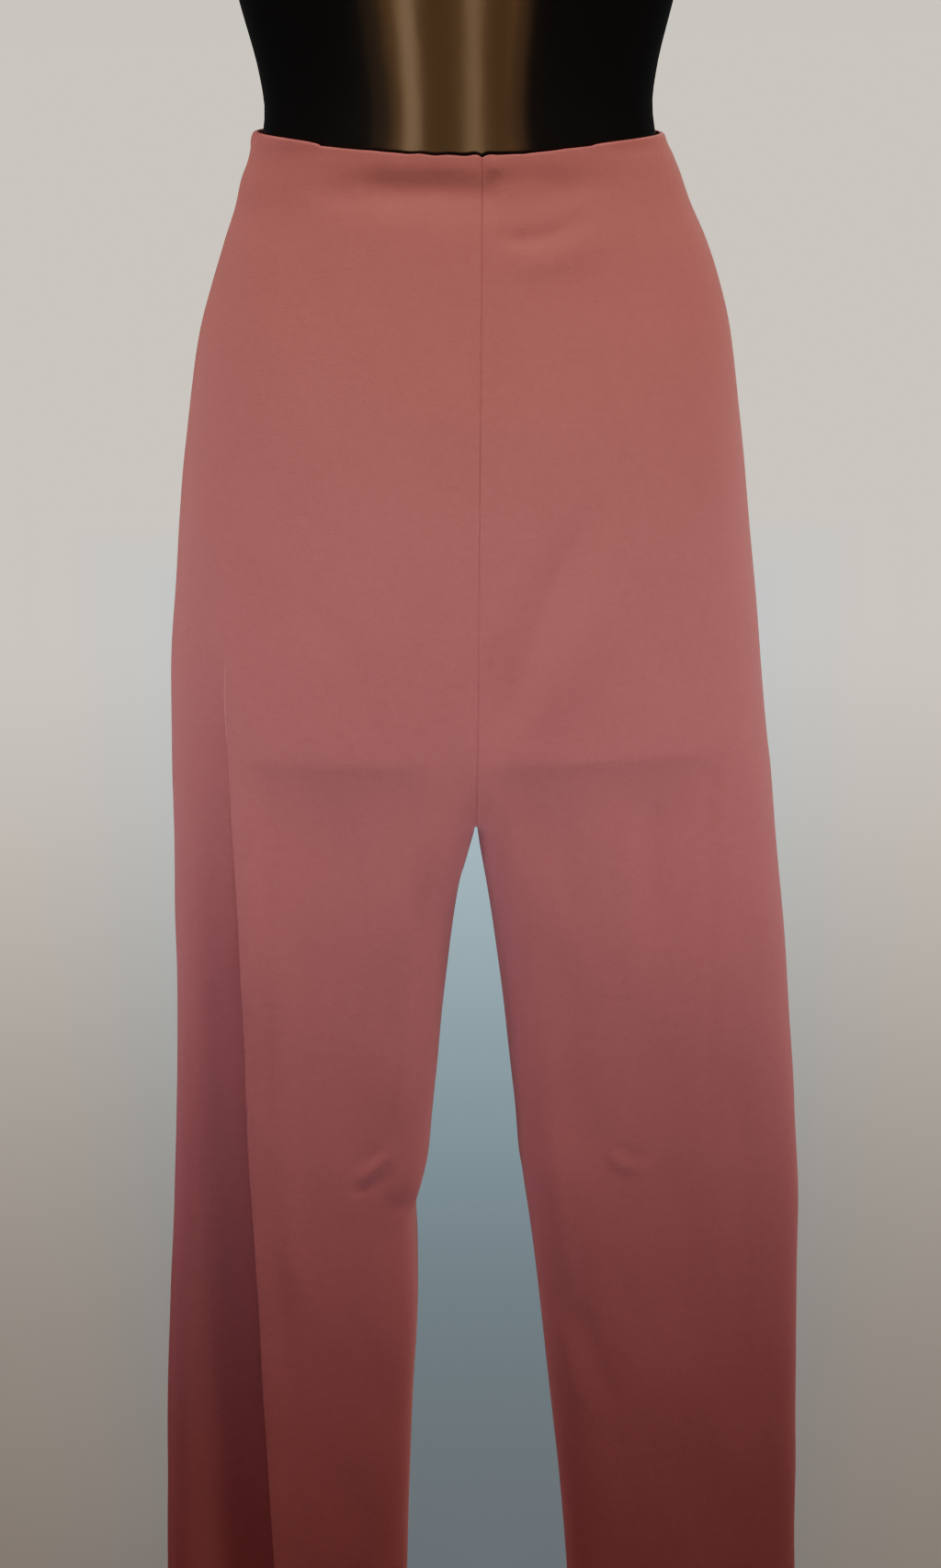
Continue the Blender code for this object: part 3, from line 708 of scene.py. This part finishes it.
def panel_skins(leg, face, height, share):
    """Points of a panel's outer and inner skins."""
    point = form_point(leg, face, height, share)
    normal = outward(leg, face, height, share)
    width = along(SECTIONS, leg, height) * ROW_TO_HALF_WIDTH
    x, z = point[..., 0], point[..., 2]
    away_from_seams = smooth_step(np.minimum(share, 1.0 - share) / CALM_SHARE)
    relief = (crease_relief(leg, face, x, z) + print_relief(leg, face, x, z)
              + wave_relief(x, z)) * away_from_seams + curl_relief(height, share)
    wall = wall_at(height)
    turned = rim_round(height, wall)
    point[..., 2] += pucker_lift(face, x, height)
    outer = point + normal * (relief - turned - seam_round(share, width))[..., None]
    inner = point + normal * (relief - wall + turned)[..., None]
    return outer, inner


# Grids and walls

def stretch(start, end, count):
    """Even steps from a start, which is left out, to an end."""
    return list(np.linspace(start, end, count)[1:])


def grid_heights():
    """Heights of the cloth's rows from the hem up, closer at the edges and the waist."""
    heights = [HEM_Z + step for step in RIM_STEPS]
    heights += stretch(heights[-1], HEM_FOLD_Z - TURN_STEP, HEM_ROWS) + [HEM_FOLD_Z + TURN_STEP]
    waist_foot = WAIST_Z - WAIST_BAND
    rows = round((waist_foot - heights[-1]) / ROW_HEIGHT)
    heights += stretch(heights[-1], waist_foot, rows)
    casing_foot = CASING_FOOT_Z - TURN_STEP
    rows = round((casing_foot - waist_foot) / WAIST_ROW_HEIGHT)
    heights += stretch(waist_foot, casing_foot, rows) + [CASING_FOOT_Z]
    heights += stretch(CASING_FOOT_Z, WAIST_Z - RIM_STEPS[-1], CASING_ROWS)
    heights += [WAIST_Z - step for step in RIM_STEPS[-2::-1]]
    return np.array(heights)


def grid_shares():
    """Shares of the way round of the cloth's columns, closer at the seams."""
    shares = list(EDGE_SHARES)
    shares += stretch(shares[-1], SPLIT_AT, SEAM_COLUMNS)
    shares += stretch(SPLIT_AT, 1.0 - EDGE_SHARES[-1], SIDE_COLUMNS)
    return np.array(shares + [1.0 - share for share in EDGE_SHARES[-2::-1]])


def wall_mesh(outer, inner):
    """A closed thin wall: a grid, extruded once, its two skins set where they lie."""
    rows, columns = outer.shape[0] - 1, outer.shape[1] - 1
    mesh = bmesh.new()
    bmesh.ops.create_grid(mesh, x_segments=columns, y_segments=rows, size=0.5)
    wall = bmesh.ops.extrude_face_region(mesh, geom=mesh.faces[:], use_keep_orig=True)
    inner_skin = {item for item in wall["geom"] if isinstance(item, bmesh.types.BMVert)}
    for vert in mesh.verts:
        column = round((vert.co.x + 0.5) * columns)
        row = round((vert.co.y + 0.5) * rows)
        vert.co = inner[row, column] if vert in inner_skin else outer[row, column]
    bmesh.ops.recalc_face_normals(mesh, faces=mesh.faces[:])
    return mesh


def put(name, data):
    """Puts a named object into the scene."""
    item = bpy.data.objects.new(name, data)
    bpy.context.scene.collection.objects.link(item)
    return item


def ride_piece(name, data, node=None):
    """A named piece that rides on the part, in place of a node of the CAD if it has one."""
    piece = put(name, data)
    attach(piece, "root")
    if node:
        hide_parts(node)
    return piece


def add_piece(name, mesh, finish, node=None):
    """Turns a finished bmesh into a smooth-shaded piece."""
    data = bpy.data.meshes.new(name)
    mesh.to_mesh(data)
    mesh.free()
    data.materials.append(finish)
    data.shade_smooth()
    data.set_sharp_from_angle(angle=SHARP_ANGLE)
    return ride_piece(name, data, node)


def panel_piece(leg, face, finish):
    """One cut panel as a thin shell."""
    height, share = np.meshgrid(grid_heights(), grid_shares(), indexing="ij")
    outer, inner = panel_skins(leg, face, height, share)
    return add_piece(f"cloth_{face}_{leg}", wall_mesh(outer, inner), finish,
                     f"{face}_{leg}")


# Sewing inside the cloth

def lengths_along(line):
    """Lengths along a line of points, from its start to each of them."""
    steps = np.linalg.norm(np.diff(line, axis=0), axis=1)
    return np.concatenate([[0.0], np.cumsum(steps)])


def behind(leg, face, height, share, depth):
    """Points of one row that lie a depth behind a panel's outer surface."""
    level = np.full_like(share, height)
    return form_point(leg, face, level, share) - outward(leg, face, level, share) * depth


def shares_at_widths(leg, face, height, at_side, widths):
    """Shares at which a panel's row lies at given distances from its seam."""
    distance = np.linspace(0.0, NEAR_SEAM_SHARE, NEAR_SEAM_POINTS) ** NEAR_SEAM_POWER
    share = 1.0 - distance if at_side else distance
    row = form_point(leg, face, np.full_like(share, height), share)
    return np.interp(widths, lengths_along(row), share)


def allowance(name, first, second, at_side, foot_z, top_z, finish):
    """The pressed-open allowances along one seam, as a strip behind both panels."""
    heights = np.linspace(foot_z, top_z, round((top_z - foot_z) / ALLOWANCE_ROW))
    steps = np.array(ALLOWANCE_STEPS)
    skins = np.zeros((2, len(heights), len(steps), 3))
    for (leg, face), side in ((first, steps < 0), (second, steps > 0)):
        widths = np.abs(steps[side]) * ALLOWANCE_WIDTH
        for index, height in enumerate(heights):
            share = shares_at_widths(leg, face, height, at_side, widths)
            for skin, depth in enumerate((ALLOWANCE_DEPTH, ALLOWANCE_DEPTH + ALLOWANCE_WALL)):
                skins[skin, index, side] = behind(leg, face, height, share, depth)
    return add_piece(name, wall_mesh(skins[0], skins[1]), finish)


def hem_thread(leg, finish):
    """Overlock thread over the raw edge of one leg's turned hem, all the way round."""
    points = []
    for face, way in (("front", 1), ("back", -1)):
        share = np.linspace(THREAD_END_SHARE, 1.0 - THREAD_END_SHARE, THREAD_POINTS)[::way]
        line = behind(leg, face, HEM_FOLD_Z, share, HEM_WALL + THREAD_RADIUS)
        run = lengths_along(line)
        stops = np.arange(0.0, run[-1], THREAD_PITCH / 2)
        points.append(np.stack([np.interp(stops, run, line[:, axis]) for axis in range(3)], axis=-1))
    points = np.concatenate(points)
    points[::2, 2] -= THREAD_HEIGHT
    curve = bpy.data.curves.new(f"hem_thread_{leg}", "CURVE")
    curve.dimensions = "3D"
    curve.bevel_depth = THREAD_RADIUS
    curve.bevel_resolution = 0
    spline = curve.splines.new("POLY")
    spline.points.add(len(points) - 1)
    for point, place in zip(spline.points, points):
        point.co = (*place, 1.0)
    spline.use_cyclic_u = True
    curve.materials.append(finish)
    return ride_piece(curve.name, curve)


# Torso form and stand

def torso_form(finish):
    """The form as one smooth skin: rings joined from the thigh edge up to the neck."""
    low, high = FORM_SECTIONS[0].height, FORM_SECTIONS[-1].height
    inside = np.linspace(low + FORM_RIM, high - FORM_RIM, round((high - low) / FORM_ROW))
    turn = np.radians(FORM_RIM_TURNS)
    foot_rim = low + FORM_RIM * (1.0 - np.cos(turn))
    top_rim = high - FORM_RIM * (1.0 - np.cos(turn))[::-1]
    heights = np.concatenate([foot_rim, inside, top_rim])
    tuck = FORM_RIM * (1.0 - np.sin(turn))
    tucks = np.concatenate([tuck, np.zeros(len(inside)), tuck[::-1]])
    names = ("half_width", "front", "back", "roundness")
    columns = [along(FORM_SECTIONS, name, heights) for name in names]
    mesh = bmesh.new()
    loops = []
    for height, tucked, half_width, front, back, roundness in zip(heights, tucks, *columns):
        closed = height in (heights[0], heights[-1])
        ring = bmesh.ops.create_circle(mesh, cap_ends=closed, segments=FORM_SEGMENTS, radius=1.0)
        for index, vert in enumerate(ring["verts"]):
            angle = 2 * math.pi * index / FORM_SEGMENTS
            side, away = math.cos(angle), math.sin(angle)
            depth = (back if away > 0.0 else front) - tucked
            power = 2.0 / roundness
            vert.co = ((half_width - tucked) * math.copysign(abs(side) ** power, side),
                       depth * math.copysign(abs(away) ** power, away), height)
        loops.append(list({edge for vert in ring["verts"] for edge in vert.link_edges}))
    for lower, upper in zip(loops, loops[1:]):
        bmesh.ops.bridge_loops(mesh, edges=lower + upper)
    bmesh.ops.recalc_face_normals(mesh, faces=mesh.faces[:])
    return add_piece("form_shell", mesh, finish, "form_torso")


def turned(name, node, profile, finish):
    """A turned steel piece: its profile, a list of (radius, height), spun round the pole."""
    mesh = bmesh.new()
    verts = [mesh.verts.new((POLE_X + radius, POLE_Y, height)) for radius, height in profile]
    edges = [mesh.edges.new(pair) for pair in zip(verts, verts[1:])]
    bmesh.ops.spin(mesh, geom=verts + edges, cent=(POLE_X, POLE_Y, 0.0), axis=(0.0, 0.0, 1.0),
                   angle=2 * math.pi, steps=TURNED_STEPS, use_merge=True)
    bmesh.ops.remove_doubles(mesh, verts=mesh.verts[:], dist=TURNED_MERGE)
    bmesh.ops.recalc_face_normals(mesh, faces=mesh.faces[:])
    return add_piece(name, mesh, finish, node)


def rounded_disc(low, high, radius, edge):
    """Profile of a disc or bar from its lower to its upper centre, its edges eased."""
    ease = edge * EASE_SHARE
    return [(0.0, low), (radius - edge, low), (radius - ease, low + ease), (radius, low + edge),
            (radius, high - edge), (radius - ease, high - ease), (radius - edge, high), (0.0, high)]


def collar_profile(low, high):
    """Closed profile of the collar: its bore, straight foot and sloping shoulder."""
    bore = POLE_RADIUS + SEAT_GAP
    shoulder = mix(low, high, COLLAR_STRAIGHT)
    lip = bore + COLLAR_LIP
    return [(bore, low), (COLLAR_RADIUS - COLLAR_EDGE, low), (COLLAR_RADIUS, low + COLLAR_EDGE),
            (COLLAR_RADIUS, shoulder - COLLAR_EDGE),
            (COLLAR_RADIUS - SHOULDER_IN, shoulder + SHOULDER_UP),
            (lip + COLLAR_EASE, high - COLLAR_EDGE), (lip - COLLAR_EASE, high),
            (bore, high), (bore, low)]


def grub_screw(finish):
    """A hexagon socket screw in the collar's side that clamps the pole."""
    mesh = bmesh.new()
    low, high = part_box("stand_collar")
    height = mix(low.z, high.z, COLLAR_STRAIGHT / 2)
    head = bmesh.ops.create_cone(mesh, cap_ends=True, segments=SCREW_SIDES, radius1=SCREW_RADIUS,
                                 radius2=SCREW_RADIUS, depth=SCREW_LENGTH)
    cap = max((f for f in mesh.faces if len(f.verts) > 4), key=lambda f: f.calc_center_median().z)
    bmesh.ops.inset_individual(mesh, faces=[cap], thickness=SCREW_RADIUS * SCREW_WALL_SHARE)
    bmesh.ops.translate(mesh, verts=cap.verts, vec=(0.0, 0.0, -SCREW_SOCKET_DEPTH))
    place = Matrix.Translation((POLE_X, POLE_Y - COLLAR_RADIUS + SCREW_INSET, height)) \
        @ Matrix.Rotation(math.radians(90), 4, "X")
    bmesh.ops.transform(mesh, matrix=place, verts=head["verts"] + list(cap.verts))
    bmesh.ops.recalc_face_normals(mesh, faces=mesh.faces[:])
    return add_piece("collar_screw", mesh, finish)


def base_plate(finish):
    """The plate on the floor: rounded corners, and an eased edge above and below."""
    low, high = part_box("stand_base")
    mesh = bmesh.new()
    bmesh.ops.create_cube(mesh, size=1.0)
    bmesh.ops.scale(mesh, verts=mesh.verts[:], vec=high - low)
    bmesh.ops.translate(mesh, verts=mesh.verts[:], vec=(high + low) / 2)
    for upright, offset, steps in ((True, BASE_CORNER, BASE_CORNER_STEPS),
                                   (False, BASE_EDGE, BASE_EDGE_STEPS)):
        middle = (low.z + high.z) / 2
        edges = [edge for edge in mesh.edges
                 if ((edge.verts[0].co.z - middle) * (edge.verts[1].co.z - middle) < 0.0) == upright]
        bmesh.ops.bevel(mesh, geom=edges, offset=offset, segments=steps, profile=0.5,
                        affect="EDGES", material=-1)
    return add_piece("base_plate", mesh, finish, "stand_base")


# Materials

def arithmetic(operation, reflected=False):
    """A method of Wire that adds a Math node, with its operands swapped when reflected."""
    def method(wire, other):
        first, second = (other, wire) if reflected else (wire, other)
        return wire.finish.math(operation, first, second)
    return method


class Wire:
    """A shader socket that takes part in arithmetic: each operation adds its Math node."""

    __add__ = arithmetic("ADD")
    __radd__ = arithmetic("ADD", reflected=True)
    __sub__ = arithmetic("SUBTRACT")
    __rsub__ = arithmetic("SUBTRACT", reflected=True)
    __mul__ = arithmetic("MULTIPLY")
    __rmul__ = arithmetic("MULTIPLY", reflected=True)
    __truediv__ = arithmetic("DIVIDE")
    __rtruediv__ = arithmetic("DIVIDE", reflected=True)

    def __init__(self, finish, socket):
        self.finish = finish
        self.socket = socket


class Finish:
    """A material being made: its nodes, and the shader that they feed."""

    def __init__(self, name, **sockets):
        self.material = bpy.data.materials.new(name)
        self.material.use_nodes = True
        self.tree = self.material.node_tree
        self.shader = self.tree.nodes["Principled BSDF"]
        self.feed(**{key.replace("_", " "): value for key, value in sockets.items()})

    def feed(self, **sockets):
        for name, value in sockets.items():
            self.connect(self.shader.inputs[name], value)

    def connect(self, socket, value):
        if isinstance(value, Wire):
            self.tree.links.new(value.socket, socket)
        else:
            socket.default_value = value

    def node(self, kind, settings, sockets, output=0):
        """Adds a node: its settings first, then the values or links of its sockets."""
        node = self.tree.nodes.new("ShaderNode" + kind)
        for name, value in settings.items():
            setattr(node, name, value)
        for name, value in sockets.items():
            self.connect(node.inputs[name], value)
        return Wire(self, node.outputs[output])

    def place(self, scale):
        """The piece's own coordinates, with a scale for each axis."""
        spot = self.node("TexCoord", {}, {}, output="Object")
        return self.node("Mapping", {"vector_type": "TEXTURE"}, {"Vector": spot, "Scale": scale})

    def noise(self, scale, detail=2.0, roughness=0.5):
        """Noise between 0 and 1 whose grains have a size for each axis, in metres."""
        return self.node("TexNoise", {}, {"Vector": self.place(scale), "Scale": 1.0,
                                          "Detail": detail, "Roughness": roughness})

    def blend(self, share, first, second):
        """A colour between two colours."""
        return self.node("Mix", {"data_type": "RGBA"}, {0: share, 6: first, 7: second}, output=2)

    def math(self, operation, first, second=0.0):
        return self.node("Math", {"operation": operation}, {0: first, 1: second})

    def ramp(self, value, start, end, low, high):
        """A soft rise from low to high while a value goes from its start to its end."""
        return self.node("MapRange", {"interpolation_type": "SMOOTHSTEP"},
                         {"Value": value, "From Min": start, "From Max": end,
                          "To Min": low, "To Max": high})

    def bump(self, height, strength, distance):
        return self.node("Bump", {}, {"Strength": strength, "Distance": distance, "Height": height})

    def surface(self, colour, roughness, normal):
        """Feeds what changes over the surface, and gives the material."""
        self.feed(**{"Base Color": colour, "Roughness": roughness, "Normal": normal})
        return self.material


# Crepe: its two shades, and for each grain its size on every axis and its part in the
# colour. The pebbles and slubs are also its relief
CREPE_DEEP = (0.350, 0.108, 0.100, 1.0)
CREPE_LIGHT = (0.450, 0.150, 0.142, 1.0)
CREPE_GRAINS = table_of(
    "name size detail part",
    ("pebble", (0.0016, 0.0016, 0.0008), 3.0, 0.80),
    ("mottle", (0.0060, 0.0060, 0.0050), 2.0, 0.35),
    ("slub", (0.0260, 0.0260, 0.0011), 2.0, 0.15),
    ("patch", (0.0900, 0.0900, 0.1500), 2.0, 0.30),
)
SLUB_RELIEF = 0.25
THREAD_COLOUR = (0.30, 0.095, 0.080, 1.0)

# Plastic of the form: its two shades, and the sizes of its smears and of the dust
GLOSS_DEEP = (0.0040, 0.0036, 0.0034, 1.0)
GLOSS_PALE = (0.0070, 0.0060, 0.0054, 1.0)
SMEAR_SIZE = (0.050, 0.050, 0.120)
DUST_SIZE = (0.0030, 0.0030, 0.0030)

# Steels of the stand: the size of the brush lines on every axis, colour and roughness
STEELS = {
    "brushed_steel_pole": ((0.0004, 0.0004, 0.0300), (0.56, 0.55, 0.54), 0.30),
    "turned_steel": ((0.0100, 0.0100, 0.0004), (0.58, 0.57, 0.56), 0.28),
    "satin_steel_plate": ((0.0700, 0.0006, 0.0006), (0.50, 0.50, 0.50), 0.36),
}
CLOUD_SIZE = (0.060, 0.060, 0.060)
CLOUD_PART = 0.4
STEEL_DEEP = 0.82


def crepe_finish(name, shade=0.0):
    """Matt stretch crepe: fine pebbles drawn out sideways, faint slubs, soft fuzz."""
    finish = Finish(name, Diffuse_Roughness=1.0, Sheen_Weight=0.12, Sheen_Roughness=0.45,
                    Sheen_Tint=(1.0, 0.66, 0.64, 1.0), Specular_IOR_Level=0.20)
    share = 0.5 + shade
    grains = {}
    for grain in CREPE_GRAINS:
        grains[grain.name] = finish.noise(grain.size, grain.detail)
        share = share + (grains[grain.name] - 0.5) * grain.part
    relief = grains["pebble"] * (1.0 - SLUB_RELIEF) + grains["slub"] * SLUB_RELIEF
    return finish.surface(finish.blend(share, CREPE_DEEP, CREPE_LIGHT),
                          0.80 + grains["pebble"] * 0.12, finish.bump(relief, 0.35, 0.0005))


def thread_finish():
    return Finish("crepe_thread", Base_Color=THREAD_COLOUR, Roughness=0.6).material


def plastic_finish():
    """Glossy black moulded plastic with faint handling marks."""
    finish = Finish("gloss_black_plastic", Specular_IOR_Level=0.6)
    smear = finish.noise(SMEAR_SIZE, detail=3.0)
    dust = finish.noise(DUST_SIZE, detail=1.0)
    return finish.surface(finish.blend(smear, GLOSS_DEEP, GLOSS_PALE),
                          0.10 + smear * 0.08 + dust * 0.02, finish.bump(smear, 0.06, 0.004))


def steel_finish(name, grain, colour, roughness):
    """Brushed steel: its colour and roughness vary along fine brush lines."""
    finish = Finish(name, Metallic=1.0)
    brush = finish.noise(grain, detail=4.0, roughness=0.6)
    cloud = finish.noise(CLOUD_SIZE, detail=2.0)
    deep = tuple(STEEL_DEEP * value for value in colour) + (1.0,)
    share = (1.0 - CLOUD_PART) * brush + CLOUD_PART * cloud
    return finish.surface(finish.blend(share, deep, colour + (1.0,)),
                          roughness + (brush - 0.5) * 0.16, finish.bump(brush, 0.10, 0.0002))


# Studio

def camera():
    data = bpy.data.cameras.new("photo_camera")
    data.lens = LENS_MM
    data.sensor_width = SENSOR_MM
    holder = put("photo_camera", data)
    holder.matrix_world = (Matrix.Translation(CAMERA_PLACE)
                           @ Matrix.Rotation(math.radians(90) - CAMERA_PITCH, 4, "X")
                           @ Matrix.Rotation(-CAMERA_ROLL, 4, "Z"))
    bpy.context.scene.camera = holder


# Floor: its painted glow next to the object, its colours, and how far aside it turns from
# the painted cool shadow to warm. The painted glow rises between two distances
PAINTED_GLOW_NEAR = 0.10
FLOOR_PALE = (0.31, 0.290, 0.270, 1.0)
# Painted shadow: the floor's colour is darker in the line behind the object
PAINTED_SHADOW_PALE = (0.14, 0.12, 0.115, 1.0)
PAINTED_GLOW_WARM = (1.19, 1.03, 0.84, 1.0)
# Painted cool shadow: the glow's colour in the line behind the object
PAINTED_SHADOW_TINT = (0.62, 1.02, 1.21, 1.0)
PAINTED_SHADOW_REACH = 0.02
WARM_REACH = 0.15
FLOOR_RADIUS = 60.0
FLOOR_SIDES = 96
PAINTED_GLOW_START = 0.4
PAINTED_GLOW_END = 4.4

# The painted cool shadow starts behind the object and ends within these distances. Its
# width grows with the distance from a place before the object
PAINTED_SHADOW_START_Y = -0.4
PAINTED_SHADOW_FULL_Y = 0.0
PAINTED_SHADOW_FADE = 3.0
PAINTED_SHADOW_END = 6.0
VIEW_Y = -2.15
VIEW_NEAREST = 0.5

# The room's own light, and the plain surround that the camera sees past the floor
ROOM_LIGHT = (0.85, 0.90, 1.0, 1.0)
ROOM_STRENGTH = 0.03
SURROUND = (1.15, 1.05, 0.88, 1.0)

# Lights: place, what each is aimed at, its size, how wide it shines in degrees, its
# power and colour, and whether gloss shows it
LIGHTS = table_of(
    "name place aim size spread power colour in_gloss",
    ("above_left", (0.60, -0.55, 2.40), (0.05, -0.05, 0.95), (0.4, 0.3), 60,
     1.87, (1.0, 0.82, 0.72), False),
    ("above_right", (-0.60, -0.55, 2.40), (-0.05, -0.05, 0.95), (0.4, 0.3), 60,
     1.32, (1.0, 0.73, 0.75), False),
    ("near_left", (0.80, -0.90, 1.25), (0.12, 0.0, 1.08), (0.5, 0.5), 62,
     0.64, (1.0, 0.87, 0.62), False),
    ("near_right", (-0.80, -0.90, 1.35), (-0.12, 0.0, 1.12), (0.5, 0.5), 50,
     0.57, (0.96, 1.0, 0.77), False),
    ("thighs", (0.0, -1.20, 0.85), (0.0, 0.0, 0.85), (1.6, 0.3), 50,
     1.93, (0.73, 0.725, 1.0), False),
    ("shins", (0.0, -1.30, 0.35), (0.0, 0.0, 0.22), (1.6, 0.3), 40,
     0.30, (1.0, 0.30, 0.36), False),
    ("seat", (0.25, 1.50, 0.95), (0.0, 0.0, 0.90), (1.2, 0.4), 55,
     3.2, (1.0, 0.90, 0.80), False),
    ("behind", (0.60, 2.20, 2.20), (0.0, 0.0, 0.90), (1.4, 1.4), 180,
     22.0, (1.0, 0.96, 0.92), True),
)

# Cards that only the form's gloss shows, in a ring before it: the angle to the wearer's
# right of the front, width, power and colour
CARDS = table_of(
    "name angle width power colour",
    ("warm_card", 3.5, 1.62, 9.5, (1.0, 0.49, 0.17)),
    ("streak_card", 16.0, 0.24, 3.7, (1.0, 0.69, 0.41)),
    ("middle_card", -4.3, 0.17, 2.4, (1.0, 0.66, 0.38)),
    ("right_card", 30.0, 0.35, 0.6, (1.0, 0.55, 0.28)),
    ("left_card", -21.0, 0.28, 1.3, (1.0, 0.48, 0.20)),
)
CARD_RING = 2.0
CARD_HEIGHT = 1.6
CARD_MIDDLE_Z = 0.85
FORM_MIDDLE = (0.0, -0.09, 1.30)


def soft_light(name, place, aim, size, power, colour, spread=180):
    """A rectangular studio light."""
    data = bpy.data.lights.new(name, "AREA")
    data.shape = "RECTANGLE"
    data.size, data.size_y = size
    data.spread = math.radians(spread)
    data.energy = power
    data.color = colour
    lamp = put(name, data)
    way = Vector(aim) - Vector(place)
    lamp.matrix_world = Matrix.Translation(place) @ way.to_track_quat("-Z", "Y").to_matrix().to_4x4()
    lamp.visible_camera = False
    return lamp


def lights():
    for light in LIGHTS:
        lamp = soft_light(light.name, light.place, light.aim, light.size, light.power, light.colour,
                          light.spread)
        lamp.visible_glossy = light.in_gloss
    for card in CARDS:
        turn = math.radians(card.angle)
        place = (FORM_MIDDLE[0] - CARD_RING * math.sin(turn),
                 FORM_MIDDLE[1] - CARD_RING * math.cos(turn), CARD_MIDDLE_Z)
        lamp = soft_light(card.name, place, FORM_MIDDLE, (card.width, CARD_HEIGHT), card.power,
                          card.colour)
        lamp.visible_diffuse = False


def studio_world():
    """Dim room light on the object, and a plain pale surround behind it."""
    world = bpy.data.worlds.new("studio")
    world.use_nodes = True
    tree = world.node_tree
    room = tree.nodes["Background"]
    surround = tree.nodes.new("ShaderNodeBackground")
    for back, colour, strength in ((room, ROOM_LIGHT, ROOM_STRENGTH), (surround, SURROUND, 1.0)):
        back.inputs["Color"].default_value = colour
        back.inputs["Strength"].default_value = strength
    ray = tree.nodes.new("ShaderNodeLightPath")
    both = tree.nodes.new("ShaderNodeMixShader")
    tree.links.new(ray.outputs["Is Camera Ray"], both.inputs[0])
    tree.links.new(room.outputs[0], both.inputs[1])
    tree.links.new(surround.outputs[0], both.inputs[2])
    tree.links.new(both.outputs[0], tree.nodes["World Output"].inputs["Surface"])
    bpy.context.scene.world = world


def floor():
    """A wide floor that glows brighter further out, as painted light, with a painted cool shadow in
    the line behind the object.
    """
    mesh = bmesh.new()
    bmesh.ops.create_circle(mesh, cap_ends=True, segments=FLOOR_SIDES, radius=FLOOR_RADIUS)
    data = bpy.data.meshes.new("floor")
    mesh.to_mesh(data)
    mesh.free()
    finish = Finish("floor_paint", Roughness=0.9)
    spot = finish.node("TexCoord", {}, {}, output="Object")
    far = finish.node("VectorMath", {"operation": "LENGTH"}, {0: spot}, output="Value")
    axes = {name: finish.node("SeparateXYZ", {}, {0: spot}, output=name) for name in "XY"}
    away = finish.math("MAXIMUM", axes["Y"] - VIEW_Y, VIEW_NEAREST)
    aside = finish.math("ABSOLUTE", axes["X"]) / away
    ends = finish.math("MAXIMUM", finish.ramp(far, PAINTED_SHADOW_FADE, PAINTED_SHADOW_END, 0.0, 1.0),
                       finish.ramp(axes["Y"], PAINTED_SHADOW_START_Y, PAINTED_SHADOW_FULL_Y, 1.0, 0.0))
    # Painted cool shadow: cooler glow and darker colour in the line behind the object
    out_of_painted_shadow = finish.math("MAXIMUM", finish.ramp(aside, PAINTED_SHADOW_REACH, WARM_REACH, 0.0, 1.0), ends)
    tint = finish.blend(out_of_painted_shadow, PAINTED_SHADOW_TINT, PAINTED_GLOW_WARM)
    # Painted light: the floor's glow rises from near the object to further out
    painted_glow = finish.ramp(far, PAINTED_GLOW_START, PAINTED_GLOW_END, PAINTED_GLOW_NEAR, 1.0)
    finish.feed(**{"Base Color": finish.blend(out_of_painted_shadow, PAINTED_SHADOW_PALE, FLOOR_PALE),
                   "Emission Color": finish.blend(painted_glow, (0.0, 0.0, 0.0, 1.0), tint),
                   "Emission Strength": 1.0})
    data.materials.append(finish.material)
    piece = put("floor", data)
    piece.visible_diffuse = False
    piece.visible_glossy = False


# Each panel's cut size with its side turnings: greatest width, length and area
Cut = namedtuple("Cut", "width length area")


def centre_allowance(face, finish):
    """The allowances of a centre seam, from the fork up to the waist edge."""
    return allowance(f"allowance_centre_{face}", ("right", face), ("left", face), False,
                     FORK_Z + FORK_CLEAR, WAIST_Z - TURN_CLEAR, finish)


def leg_sewing(leg, finish):
    """The allowances of a leg's side seam and inseam, and the thread at its hem."""
    front, back = (leg, "front"), (leg, "back")
    foot_z = HEM_FOLD_Z + TURN_CLEAR
    return [
        allowance(f"allowance_side_{leg}", front, back, True, foot_z, CASING_FOOT_Z - TURN_CLEAR,
                  finish),
        allowance(f"allowance_inseam_{leg}", front, back, False, foot_z, FORK_Z - FORK_CLEAR, finish),
        hem_thread(leg, thread_finish())]


def trousers():
    """The four panels and their sewing."""
    for face in FACE_SIGN:
        for leg in LEG_SIGN:
            panel_piece(leg, face, crepe_finish(f"crepe_{face}_{leg}"))
    inside = crepe_finish("crepe_inside", shade=-0.15)
    sewing = {
        ("right", "front"): [centre_allowance("front", inside)] + leg_sewing("right", inside),
        ("left", "front"): leg_sewing("left", inside),
        ("right", "back"): [centre_allowance("back", inside)],
    }


def stand():
    """The pole, flange, collar with its screw and plate, each in its own steel."""
    pole, rings, plate = (steel_finish(name, *look) for name, look in STEELS.items())
    low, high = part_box("stand_pole")
    turned("pole_bar", "stand_pole", rounded_disc(low.z, high.z, POLE_RADIUS, POLE_EDGE), pole)
    low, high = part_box("stand_flange")
    turned("flange_disc", "stand_flange",
           rounded_disc(low.z, high.z, FLANGE_RADIUS, FLANGE_EDGE), rings)
    low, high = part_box("stand_collar")
    turned("collar_ring", "stand_collar", collar_profile(low.z, high.z), rings)
    grub_screw(rings)
    base_plate(plate)


camera()
lights()
studio_world()
floor()
trousers()
torso_form(plastic_finish())
stand()
